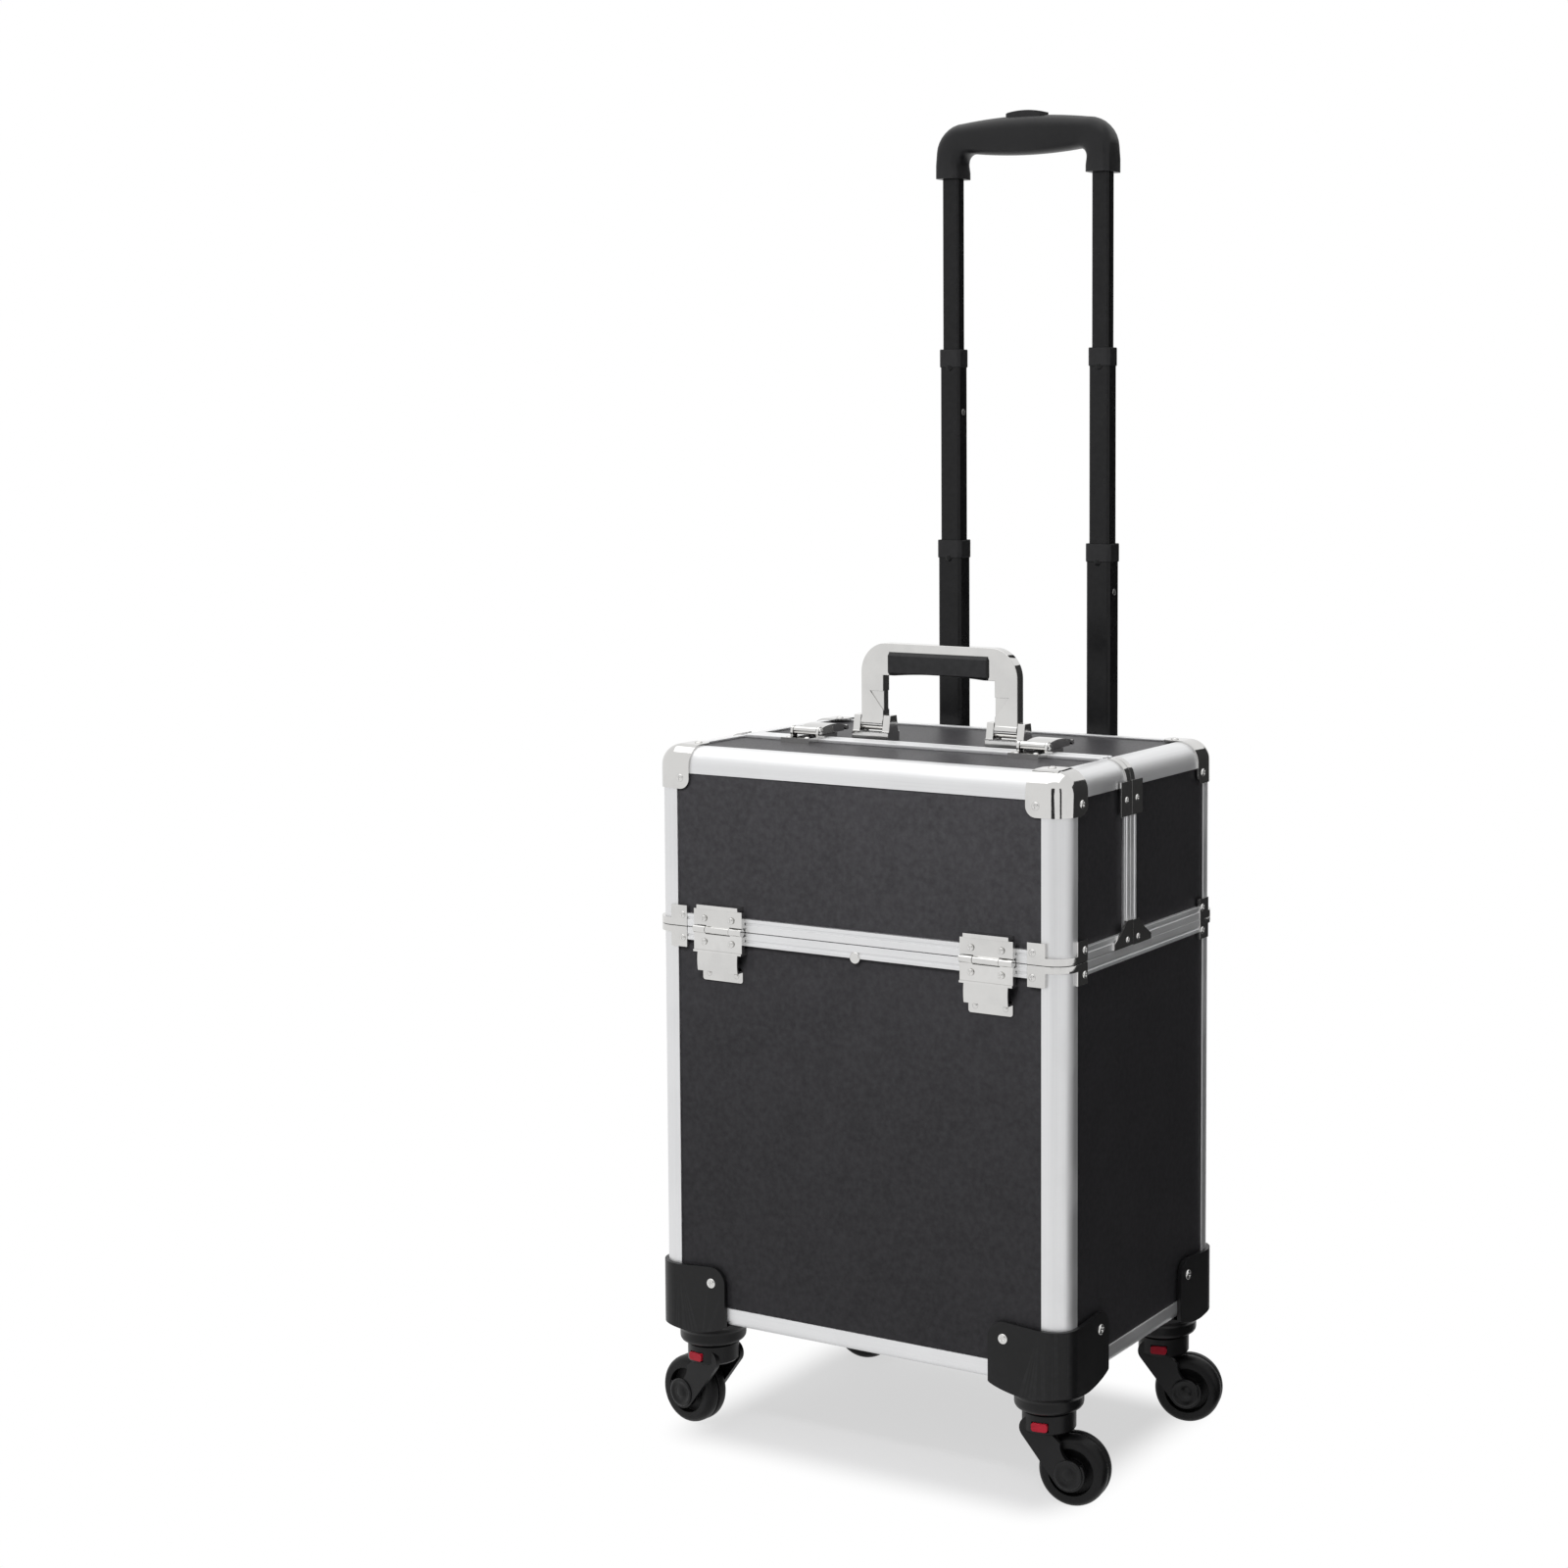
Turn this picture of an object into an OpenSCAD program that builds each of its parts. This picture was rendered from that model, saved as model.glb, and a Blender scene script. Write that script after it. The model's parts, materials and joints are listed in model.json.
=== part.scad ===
// Rolling makeup case: a framed bin on four spinner casters, with a fixed rear hood, a front lid on
// stop hinges that brings out two cantilever trays, a folding carry handle and a telescopic handle.
// Millimetres, +Z up, floor at z = 0, front towards -Y, X = 0 and Y = 0 in the middle of the case.

/* [Case] */
// Width over the corner profiles
case_width = 340; // [300:2:420]
// Depth over the corner profiles
case_depth = 232; // [210:2:300]
// Height of the bin, from its underside to the seam
bin_height = 293.5; // [240:0.5:380]
// Height of lid and hood, from the seam to the top
lid_height = 130.5; // [122:0.5:170]
// How far the split between lid and hood lies in front of the middle
split_offset = 22; // [10:1:30]
// Thickness of the covered panels
panel_thickness = 4; // [3:0.5:5]
// Thickness of the base board
base_thickness = 6; // [4:0.5:10]

/* [Edge profiles] */
// Leg of the corner profiles
profile_leg = 18.5; // [16:0.5:24]
// Outer radius of the corner profiles
profile_radius = 14; // [12:0.5:16]
// Wall of the profiles
profile_wall = 1.5; // [1.2:0.1:2]
// Leg of the bottom rails
base_leg = 14; // [12:0.5:18]
// Height of each strip of the band at the seam
band_height = 9.5; // [8:0.5:12]
// How far the band stands out from the corner profiles
band_proud = 2; // [1:0.5:3]
// Width of the trim on each side of the split
trim_width = 9; // [7:0.5:12]
// How far the split trim stands out from the corner profiles
trim_proud = 1; // [0.5:0.5:2]
// Wall of the band's and the trim's cap and inner lip
trim_wall = 1.5; // [1:0.1:2]
// Gap that the lid keeps to the bin and the hood
seam_gap = 0.5; // [0.4:0.1:1]

/* [Corner hardware] */
// Leg of the brackets that wrap the posts at the seam
bracket_leg = 28; // [26:1:34]
// Height of each seam bracket
bracket_height = 15; // [12:1:20]
// Thickness of the seam brackets
bracket_thickness = 2.4; // [2:0.1:3]
// Leg of the ball corners on top
cap_leg = 30; // [26:1:34]
// Thickness of the ball corners
cap_thickness = 1.4; // [1:0.1:2]

/* [Stop hinges] */
// Distance between the two hinges
hinge_spacing = 224; // [180:2:230]
// Width of a hinge
hinge_width = 42; // [36:1:50]
// Thickness of the hinge leaves
leaf_thickness = 1.5; // [1:0.1:2]
// Height of the leaf on the lid, above the axis
leaf_up = 18; // [16:0.5:22]
// Height of the leaf on the bin, below the axis
leaf_down = 15; // [13.5:0.5:18]
// Height of the curved flap under the bin's leaf
flap_height = 15; // [12:0.5:18]
// Height of the hinge's foot on the panel
foot_height = 8; // [6:0.5:10]
// Radius of the hinge knuckles
knuckle_radius = 2.8; // [2.4:0.1:3.2]
// Diameter of the hinge pins
hinge_pin = 2.6; // [2:0.1:3]

/* [Top latches] */
// Distance between the two latches
latch_spacing = 194; // [180:2:200]
// Width of a latch lever
latch_width = 20; // [16:1:24]
// Length of a latch lever behind its axis
lever_length = 40; // [34:1:46]
// Diameter of the latch pins
latch_pin = 3; // [2.5:0.1:3.5]
// Thickness of the latch's and the catch's plates
latch_plate = 1.5; // [1:0.1:2]
// Length of a latch's plate on the lid
latch_reach = 22; // [18:0.5:26]
// Length of a catch's plate on the hood
catch_reach = 24; // [20:0.5:28]
// Width of a catch
catch_width = 14; // [10:0.5:18]

/* [Carry handle] */
// Width over the bail
bail_width = 134; // [124:2:144]
// Height of the bail above its axis
bail_height = 60; // [54:0.5:70]
// Width of the bail's legs
bail_leg = 19; // [15:0.5:22]
// Height of the strap above the grip pad
strap_height = 6.5; // [5:0.5:9]
// Thickness of the bail
bail_thickness = 9; // [7:0.5:10]
// Length of the grip pad
pad_length = 85; // [70:1:90]
// Height of the grip pad
pad_height = 17.5; // [14:0.5:20]
// How far the grip pad stands out on each side
pad_proud = 2.5; // [1.5:0.5:6]
// Diameter of the bail's pins
bail_pin = 5; // [4:0.5:6]
// How far the bail's axis lies behind the middle of the case
bail_setback = 5; // [0:0.5:20]
// Thickness of the handle brackets' feet
bracket_foot = 7; // [5:0.5:9]
// Thickness of the handle brackets' ears
bracket_ear = 6; // [4:0.5:8]

/* [Telescopic handle] */
// Distance between the left and right tubes
tube_spacing = 132; // [110:2:150]
// Width of the innermost tube
tube_width = 14.5; // [12:0.5:16]
// Depth of the innermost tube
tube_depth = 10.5; // [9:0.5:12]
// Wall of the tubes
tube_wall = 1.2; // [1:0.1:1.6]
// Sliding clearance between nested tubes
tube_clearance = 0.3; // [0.25:0.05:0.5]
// Visible length of the innermost tube when drawn out
upper_reach = 132; // [90:1:140]
// Visible length of the middle tube when drawn out
middle_reach = 149; // [100:1:155]
// Visible length of the lower tube when drawn out
lower_reach = 149; // [100:1:155]
// Length of tube that stays inside the next one when drawn out
tube_overlap = 35; // [25:1:50]
// How far the fixed tubes end below the top of the case
tube_drop = 6; // [0:1:20]
// Gap between the fixed tubes and the plane of the back profiles
tube_standoff = 8.5; // [6:0.5:14]
// Height of the collars on the tube ends
collar_height = 14; // [10:1:24]
// Thickness of the collars
collar_wall = 0.8; // [0.6:0.1:1.5]
// Height of the hand grip, from the legs' ends to the crown
grip_height = 46; // [40:1:54]
// Thickness of the hand grip's bar
grip_bar = 30; // [26:1:32]
// Depth of the hand grip, front to back
grip_depth = 25; // [22:1:30]
// Width of a grip leg
grip_leg = 21; // [19:0.5:24]
// Outer radius of the grip's shoulders
grip_shoulder = 22; // [16:1:26]
// Inner radius where the grip's bar meets its legs
grip_fillet = 9; // [6:0.5:12]
// Length of the release button in the grip
button_length = 36; // [28:1:44]
// Width of the release button
button_depth = 10; // [8:0.5:12]

/* [Trays] */
// Depth of the trays, front to back
tray_depth = 100; // [80:2:110]
// Height of the upper tray
upper_tray_height = 30; // [24:1:32]
// Wall of the trays
tray_wall = 2; // [1.5:0.1:2.5]
// Thickness of the tray arms
arm_thickness = 1.6; // [1.2:0.1:2]
// Width of the tray arms
arm_width = 10; // [8:0.5:12]
// Diameter of the tray arm pins
arm_pin = 4; // [3:0.5:5]
// Distance of the leading arms' pivots from the front of the case
arm_inset = 41; // [36:1:50]
// Distance between the leading and the following arms
arm_spacing = 45; // [35:1:50]

/* [Casters] */
// Diameter of the wheels
wheel_diameter = 50; // [40:1:60]
// Width of the wheels
wheel_width = 20; // [16:1:22]
// Distance of the swivel axes from the two faces of the case
caster_inset = 27; // [25:1:32]
// How far a wheel trails its swivel axis
caster_trail = 19.5; // [16:0.5:22]
// Diameter of the swivelling neck
neck_diameter = 38; // [36:1:42]
// Height of the swivelling neck
neck_height = 15; // [14:0.5:18]
// Diameter of the swivel stem
stem_diameter = 12; // [10:0.5:14]
// Height of the socket under the case
socket_height = 21; // [18:0.5:26]
// Diameter of the socket at the housings' lower end
socket_diameter = 49; // [46:1:52]
// Wall of the corner housings
housing_wall = 3; // [2.5:0.5:4]
// Length of the housings along the case's faces
housing_leg = 59; // [52:1:66]
// Height of the housings' ears above the underside of the case
ear_height = 43.5; // [36:0.5:50]
// How far the housings' upper edge dips at the post
ear_dip = 2; // [0:0.5:4]
// Width of the release bar
release_width = 12; // [10:0.5:14]
// Height of the release bar
release_height = 6; // [5:0.5:7]

/* [Hidden] */
$fn = 48;

// Running clearance of pins in their holes, and gap between faces that swing past each other
pin_clearance = 0.06;
swing_gap = 0.4;

// Case planes
half_w = case_width / 2;
half_d = case_depth / 2;
face_x = half_w - profile_wall;
face_y = half_d - profile_wall;
core = profile_radius - 4;
base_core = profile_wall + panel_thickness + 1.5;
neck_gap = 1.5;
swivel_gap = 0.5;
neck_z = wheel_diameter + neck_gap;
socket_z = neck_z + neck_height + swivel_gap;
base_z = socket_z + socket_height;
seam_z = base_z + bin_height;
top_z = seam_z + lid_height;
lid_bottom = seam_z + seam_gap;
split_y = -split_offset;
lid_rear = split_y - seam_gap / 2;
hood_front = split_y + seam_gap / 2;
outer_x = half_w - bracket_leg;
outer_y = half_d - bracket_leg;

// Hinge axis, in front of the band and level with the gap under the lid
plate_y = half_d + band_proud;
hinge_y = -(plate_y + swing_gap + knuckle_radius);
hinge_z = seam_z + seam_gap / 2;
leaf_front = hinge_y - leaf_thickness / 2;
leaf_lip = 1.2;

// Latch axis on the lid's rear trim
latch_y = lid_rear - 6;
latch_base_z = top_z + trim_proud;
latch_knuckle = 3;
latch_z = latch_base_z + 5.5;

// Carry handle axis, on the hood's top panel
bail_y = bail_setback;
bail_foot = bail_thickness / 2 + 1.3;
bail_z = top_z - profile_wall + bracket_foot + bail_foot + swing_gap;
bail_leg_x = bail_width / 2 - bail_leg / 2;
pad_top = bail_z + bail_height - strap_height;
pad_low = pad_top - pad_height;

// Telescopic handle levels and travel
tube_step = 2 * (tube_wall + tube_clearance);
fixed_depth = tube_depth + 3 * tube_step;
fixed_width = tube_width + 3 * tube_step;
tube_y = half_d + tube_standoff + fixed_depth / 2;
fixed_top = top_z - tube_drop;
lower_top = fixed_top + lower_reach;
middle_top = lower_top + middle_reach;
grip_z = middle_top + upper_reach;
grip_top = grip_z + grip_height;
grip_seat = 14;
grip_half = tube_spacing / 2 + grip_leg / 2;
button_gap = 0.4;
button_pocket = 16;

// Tray linkage: arms stand upright when the lid is shut and lean out by half the lid's angle
lid_open = 100;
arm_turn = lid_open / 2;
arm_x = face_x - panel_thickness - trim_wall - 4.4;
tray_half = arm_x - arm_thickness - 1;
lead_y = -half_d + arm_inset;
follow_y = lead_y + arm_spacing;
tray_front = -half_d + core + 4;
arm_z = seam_z - band_height * 0.6 - arm_width / 2 - 1;
pivot_rise = 6;
tray_gap = 1.5;
upper_tray_z = top_z - profile_radius - 2 - upper_tray_height;
upper_arm = upper_tray_z + pivot_rise - arm_z;
lower_arm = upper_arm / 2;
lower_tray_z = arm_z + lower_arm - pivot_rise;
lower_tray_height = upper_tray_z - tray_gap - (upper_arm - lower_arm) * (1 - cos(arm_turn)) - lower_tray_z;

// Caster sizes that follow from the wheel, and the swivel angles at rest
wheel_radius = wheel_diameter / 2;
axle_radius = 3;
fork_gap = 0.8;
fork_arm = 4;
fork_y = wheel_width / 2 + fork_gap + fork_arm / 2;
arm_disc = wheel_radius * 0.48;
fork_root = neck_diameter * 0.22;
fork_notch = wheel_radius * 0.54;
release_z = neck_z + neck_height * 0.4;
release_play = 0.3;
swivel_front_left = 172;
swivel_front_right = 8;
swivel_rear_left = 12;
swivel_rear_right = 15;

// Colours of the finishes
panel_black = [0.16, 0.16, 0.17];
liner_black = [0.09, 0.09, 0.1];
satin_metal = [0.78, 0.79, 0.8];
bright_metal = [0.88, 0.88, 0.9];
plastic_black = [0.13, 0.13, 0.14];
tube_black = [0.1, 0.1, 0.11];
release_red = [0.78, 0.2, 0.27];

// Helpers

// A box given by its two corners
module box(low, high) {
  translate(low) cube(high - low);
}

// Runs a (Y, Z) outline along X
module run_x(x0, x1) {
  translate([x0, 0, 0]) rotate([90, 0, 90]) linear_extrude(x1 - x0) children();
}

// Runs an (X, Z) outline along Y
module run_y(y0, y1) {
  translate([0, y1, 0]) rotate([90, 0, 0]) linear_extrude(y1 - y0) children();
}

// Runs an (X, Y) outline along Z
module run_z(z0, z1) {
  translate([0, 0, z0]) linear_extrude(z1 - z0) children();
}

// Places a corner's own (inward X, inward Y) drawing at one of the four vertical edges
module at_corner(side, end) {
  translate([side * half_w, end * half_d, 0])
    mirror([side > 0 ? 1 : 0, 0, 0]) mirror([0, end > 0 ? 1 : 0, 0]) children();
}

// Copies a drawing to the left and right sides
module both_sides() {
  children();
  mirror([1, 0, 0]) children();
}

// A square from the origin with a round first corner
module corner_square(size, radius) {
  difference() {
    square(size);
    difference() {
      square(radius);
      translate([radius, radius]) circle(radius);
    }
  }
}

// A rounded rectangle about the origin
module rounded_rect(width, height, radius) {
  square([width - 2 * radius, height], center = true);
  square([width, height - 2 * radius], center = true);
  for (x = [-1, 1], y = [-1, 1])
    translate([x * (width / 2 - radius), y * (height / 2 - radius)]) circle(radius);
}

// Two circles and their outer tangents
module link(p, r, q, s) {
  span = norm(q - p);
  heading = atan2(q.y - p.y, q.x - p.x);
  spread = acos((r - s) / span);
  ends = [heading + spread, heading - spread];
  function rim(c, radius, angle) = c + radius * [cos(angle), sin(angle)];
  translate(p) circle(r);
  translate(q) circle(s);
  polygon([rim(p, r, ends[0]), rim(q, s, ends[0]), q, rim(q, s, ends[1]), rim(p, r, ends[1]), p]);
}

// Corner profile with a rounded outside, two legs and a solid core
module edge_profile(leg, radius, solid) {
  intersection() {
    corner_square(leg, radius);
    union() {
      square([leg, profile_wall]);
      square([profile_wall, leg]);
      square(solid);
    }
  }
}

// Channel that caps a panel's edge: x points out of the panel's face, y away from the edge
module edge_channel(width, proud) {
  groove = 1.6;
  groove_depth = 0.7;
  difference() {
    union() {
      square([profile_wall + proud, width]);
      translate([-panel_thickness - trim_wall, 0]) square([panel_thickness + 2 * trim_wall, trim_wall]);
      translate([-panel_thickness - trim_wall, 0]) square([trim_wall, width * 0.6]);
    }
    translate([profile_wall + proud - groove_depth, width * 0.55]) square([groove_depth, groove]);
  }
}

// Strip bent round the outside of a post
module wrap(leg, thickness) {
  difference() {
    translate([-thickness, -thickness]) corner_square(leg + thickness, profile_radius + thickness);
    corner_square(leg + thickness, profile_radius);
  }
}

// Solid with one round corner and three round edges, growing from its ball's centre
module ball_corner(radius, reach) {
  sphere(radius);
  rotate([0, 90, 0]) cylinder(r = radius, h = reach);
  rotate([-90, 0, 0]) cylinder(r = radius, h = reach);
  cylinder(r = radius, h = reach);
  box([0, 0, -radius], [reach, reach, reach]);
  box([0, -radius, 0], [reach, reach, reach]);
  box([-radius, 0, 0], [reach, reach, reach]);
}

// Bin

module base_panel() {
  color(liner_black) difference() {
    z = base_z + profile_wall;
    box([base_core - half_w, base_core - half_d, z],
        [half_w - base_core, half_d - base_core, z + base_thickness]);
    for (side = [-1, 1], end = [-1, 1])
      at_corner(side, end) box([0, 0, z - 1], [core, core, z + base_thickness + 1]);
  }
}

// A front or back panel of the given height range, at the -Y face
module wide_panel(z0, z1) {
  color(panel_black) box([core - half_w, -face_y, z0], [half_w - core, panel_thickness - face_y, z1]);
}

module lower_front_panel() {
  wide_panel(base_z + base_core, seam_z - trim_wall);
}

module lower_back_panel() {
  mirror([0, 1, 0]) wide_panel(base_z + base_core, seam_z - trim_wall);
}

// The pair of side panels between two depths and two heights
module side_pair(y0, y1, z0, z1) {
  color(panel_black) both_sides() box([face_x - panel_thickness, y0, z0], [face_x, y1, z1]);
}

module lower_side_panels() {
  side_pair(core - half_d, half_d - core, base_z + base_core, seam_z - trim_wall);
}

module corner_posts() {
  color(satin_metal) for (side = [-1, 1], end = [-1, 1])
    at_corner(side, end) run_z(base_z, seam_z) edge_profile(profile_leg, profile_radius, core);
}

module base_rails() {
  color(satin_metal) {
    for (end = [0, 1]) mirror([0, end, 0])
      run_x(profile_leg - half_w, half_w - profile_leg)
        translate([-half_d, base_z]) edge_profile(base_leg, base_core, base_core);
    both_sides() run_y(profile_leg - half_d, half_d - profile_leg)
      translate([half_w, base_z]) mirror([1, 0]) edge_profile(base_leg, base_core, base_core);
  }
}

// Band along the front, its outer lip reaching up or down from the given edge
module band_front(edge_z, up) {
  run_x(-outer_x, outer_x)
    translate([-face_y, edge_z]) mirror([1, 0]) mirror([0, up ? 0 : 1]) edge_channel(band_height, band_proud);
}

// Band along both sides between two depths
module band_sides(y0, y1, edge_z, up) {
  both_sides() run_y(y0, y1)
    translate([face_x, edge_z]) mirror([0, up ? 0 : 1]) edge_channel(band_height, band_proud);
}

module lower_rim() {
  color(satin_metal) {
    band_front(seam_z, false);
    mirror([0, 1, 0]) band_front(seam_z, false);
    band_sides(-outer_y, outer_y, seam_z, false);
  }
}

// Seam bracket at one corner: a plate on each face, and a low tongue round the post at the seam
module seam_bracket(side, end, seam, up) {
  tongue = 5;
  z0 = up ? seam : seam - bracket_height;
  tongue_z = up ? seam : seam - tongue;
  z1 = z0 + bracket_height;
  at_corner(side, end) intersection() {
    run_z(z0, z1) wrap(bracket_leg, bracket_thickness);
    union() {
      box([profile_radius, -bracket_thickness, z0], [bracket_leg, profile_radius, z1]);
      box([-bracket_thickness, profile_radius, z0], [profile_radius, bracket_leg, z1]);
      box([-bracket_thickness, -bracket_thickness, tongue_z], [bracket_leg, bracket_leg, tongue_z + tongue]);
    }
  }
}

module lower_seam_brackets() {
  color(bright_metal) for (side = [-1, 1], end = [-1, 1])
    seam_bracket(side, end, seam_z, false);
}

// Lid and hood share these forms: end -1 is the lid at the front, 1 the hood at the back

// Top profiles of one half: the long edge and the two side edges up to the split
module top_profiles(end, split) {
  flip = end > 0 ? 1 : 0;
  run_x(profile_radius - half_w, half_w - profile_radius)
    translate([end * half_d, top_z]) mirror([flip, 0]) mirror([0, 1])
      edge_profile(profile_leg, profile_radius, core);
  round_end = end * (half_d - profile_radius);
  both_sides() run_y(min(split, round_end), max(split, round_end))
    translate([half_w, top_z]) mirror([1, 0]) mirror([0, 1]) edge_profile(profile_leg, profile_radius, core);
}

// Channels along the split of one half: one across the top and one down each side
module split_trim(end, split, z0) {
  flip = end > 0 ? 1 : 0;
  run_x(profile_leg - half_w, half_w - profile_leg)
    translate([split, top_z - profile_wall]) mirror([flip, 0]) rotate(90) edge_channel(trim_width, trim_proud);
  both_sides() run_z(z0, top_z - profile_leg)
    translate([face_x, split]) mirror([0, 1 - flip]) edge_channel(trim_width, trim_proud);
}

// Ball corner with its three flanges, and the filling between the profiles' ends
module ball_cap() {
  centre = profile_radius * [1, 1, 1];
  intersection() {
    difference() {
      translate(centre) ball_corner(profile_radius + cap_thickness, cap_leg);
      translate(centre) ball_corner(profile_radius, cap_leg + 1);
    }
    translate(-cap_thickness * [1, 1, 1]) intersection_for(turn = [[0, 0, 0], [90, 0, 90], [0, -90, -90]])
      rotate(turn) linear_extrude(cap_leg + cap_thickness) corner_flange(cap_leg + cap_thickness);
  }
  difference() {
    intersection() {
      translate(centre) ball_corner(profile_radius, cap_leg);
      cube(profile_radius);
    }
    box([core, core, profile_wall], cap_leg * [1, 1, 1]);
    box([core, profile_wall, core], cap_leg * [1, 1, 1]);
    box([profile_wall, core, core], cap_leg * [1, 1, 1]);
  }
}

// Outline of the ball corner seen along one edge: a square whose far corner is an ear for a screw
module corner_flange(size) {
  ear = 8;
  square([size, size - ear]);
  square([size - ear, size]);
  translate([size - ear, size - ear]) circle(ear);
}

// Clips over one half's split trim: one that hooks over the top edge and one flared at the foot of both sides
module split_clips(end, split, foot) {
  flip = end > 0 ? 0 : 1;
  lip_x = half_w + trim_proud;
  band_x = half_w + band_proud;
  clip = 1.2;
  hook = 6;
  flare = 28;
  reach = 16;
  rise = 18;
  both_sides() translate([0, split, 0]) mirror([0, flip, 0]) {
    box([lip_x, 0, top_z - profile_leg - rise - 2], [lip_x + clip, reach, top_z - profile_radius]);
    run_y(0, hook) translate([half_w - profile_radius, top_z - profile_radius]) intersection() {
      difference() {
        circle(profile_radius + clip);
        circle(profile_radius);
        translate([0, -profile_radius]) square(profile_radius);
      }
      translate([0, -2]) square(profile_radius + 2 * clip + 2);
    }
    translate([band_x, 0, foot]) rotate([90, 0, 90]) linear_extrude(clip)
      polygon([[0, 0], [flare, 0], [flare, 4], [reach, band_height + 2], [trim_width, rise], [0, rise]]);
    box([lip_x, 0, foot + band_height], [band_x, trim_width, foot + rise]);
  }
}

module top_panel_between(y0, y1) {
  color(panel_black) box([core - half_w, y0, top_z - profile_wall - panel_thickness],
                         [half_w - core, y1, top_z - profile_wall]);
}

// Hood

module hood_back_panel() {
  mirror([0, 1, 0]) wide_panel(seam_z + trim_wall, top_z - core);
}

module hood_top_panel() {
  top_panel_between(hood_front + trim_wall, half_d - core);
}

module hood_side_panels() {
  side_pair(hood_front + trim_wall, half_d - core, seam_z + trim_wall, top_z - core);
}

module hood_posts() {
  color(satin_metal) for (side = [-1, 1])
    at_corner(side, 1) run_z(seam_z, top_z - profile_leg) edge_profile(profile_leg, profile_radius, core);
}

module hood_rails() {
  color(satin_metal) {
    mirror([0, 1, 0]) band_front(seam_z, true);
    band_sides(hood_front, outer_y, seam_z, true);
    split_trim(1, hood_front, seam_z + band_height);
    top_profiles(1, hood_front);
  }
}

module hood_corners() {
  color(bright_metal) {
    for (side = [-1, 1]) {
      at_corner(side, 1) translate([0, 0, top_z]) mirror([0, 0, 1]) ball_cap();
      seam_bracket(side, 1, seam_z, true);
    }
    split_clips(1, hood_front, seam_z);
  }
}

// Lid

module lid_face_panel() {
  wide_panel(lid_bottom + trim_wall, top_z - core);
}

module lid_top_panel() {
  top_panel_between(core - half_d, lid_rear - trim_wall);
}

module lid_side_panels() {
  side_pair(core - half_d, lid_rear - trim_wall, lid_bottom + trim_wall, top_z - core);
}

module lid_posts() {
  color(satin_metal) for (side = [-1, 1])
    at_corner(side, -1) run_z(lid_bottom, top_z - profile_leg) edge_profile(profile_leg, profile_radius, core);
}

module lid_rails() {
  color(satin_metal) {
    band_front(lid_bottom, true);
    band_sides(-outer_y, lid_rear, lid_bottom, true);
    split_trim(-1, lid_rear, lid_bottom + band_height);
    top_profiles(-1, lid_rear);
  }
}

module lid_corners() {
  color(bright_metal) {
    for (side = [-1, 1]) {
      at_corner(side, -1) translate([0, 0, top_z]) mirror([0, 0, 1]) ball_cap();
      seam_bracket(side, -1, lid_bottom, true);
    }
    split_clips(-1, lid_rear, lid_bottom);
  }
}

// Stop hinges

// Copies a hinge drawing to both hinge places
module at_hinges() {
  for (side = [-1, 1]) translate([side * hinge_spacing / 2, 0, 0]) children();
}

module hinge_bin_leaves() {
  middle = hinge_width / 4 + 0.15;
  edge = hinge_width / 2;
  ledge_z = hinge_z - leaf_down;
  flap_z = ledge_z - flap_height;
  flap_edge = edge - 3.5;
  bow = 40;
  color(bright_metal) at_hinges() {
    leaf_pan(ledge_z, hinge_z - knuckle_radius - swing_gap);
    run_x(-edge, edge) translate([leaf_front - leaf_lip, ledge_z - leaf_thickness])
      square([leaf_lip - leaf_front - face_y, leaf_thickness]);
    run_x(-flap_edge, flap_edge) {
      intersection() {
        translate([leaf_front - leaf_lip, flap_z]) square([bow, flap_height]);
        translate([leaf_front - leaf_lip + bow, flap_z + flap_height / 2]) difference() {
          circle(bow, $fn = 120);
          circle(bow - leaf_thickness, $fn = 120);
        }
      }
      translate([leaf_front, flap_z]) square([-face_y - leaf_front, leaf_thickness]);
    }
    run_y(-face_y - leaf_thickness, -face_y) translate([0, flap_z - foot_height / 2 + leaf_thickness])
      rounded_rect(2 * flap_edge, foot_height + 2 * leaf_thickness, 2);
    for (side = [0, 1]) mirror([side, 0, 0]) {
      hinge_barrel(middle, edge);
      box([middle, leaf_front, hinge_z - knuckle_radius - 1], [edge, leaf_front + leaf_thickness, hinge_z]);
    }
    translate([-edge, hinge_y, hinge_z]) rotate([0, 90, 0]) cylinder(d = hinge_pin, h = hinge_width);
  }
}

// Front plate of a hinge leaf with its two side walls, which stand on the band
module leaf_pan(z0, z1) {
  edge = hinge_width / 2;
  box([-edge, leaf_front, z0], [edge, leaf_front + leaf_thickness, z1]);
  both_sides() box([edge - leaf_thickness, hinge_y, z0], [edge, -plate_y, z1]);
}

// A piece of hinge knuckle between two places along X
module hinge_barrel(x0, x1) {
  translate([x0, hinge_y, hinge_z]) rotate([0, 90, 0]) cylinder(r = knuckle_radius, h = x1 - x0);
}

module hinge_lid_leaves() {
  middle = hinge_width / 4 - 0.15;
  edge = hinge_width / 2;
  foot = hinge_z + knuckle_radius + swing_gap;
  head = hinge_z + leaf_up;
  lip_height = 3;
  bevel = 3;
  color(bright_metal) at_hinges() difference() {
    union() {
      leaf_pan(foot, head - lip_height);
      run_x(bevel - edge, edge - bevel) translate([leaf_front - leaf_lip, head - lip_height])
        square([leaf_lip - leaf_front - face_y, lip_height]);
      hinge_barrel(-middle, middle);
      box([-middle, leaf_front, hinge_z], [middle, leaf_front + leaf_thickness, foot + 1]);
    }
    translate([-edge, hinge_y, hinge_z]) rotate([0, 90, 0])
      cylinder(r = hinge_pin / 2 + pin_clearance, h = hinge_width);
  }
}

// Top latches

// Copies a latch drawing to both latch places
module at_latches() {
  for (side = [-1, 1]) translate([side * latch_spacing / 2, 0, 0]) children();
}

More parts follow.
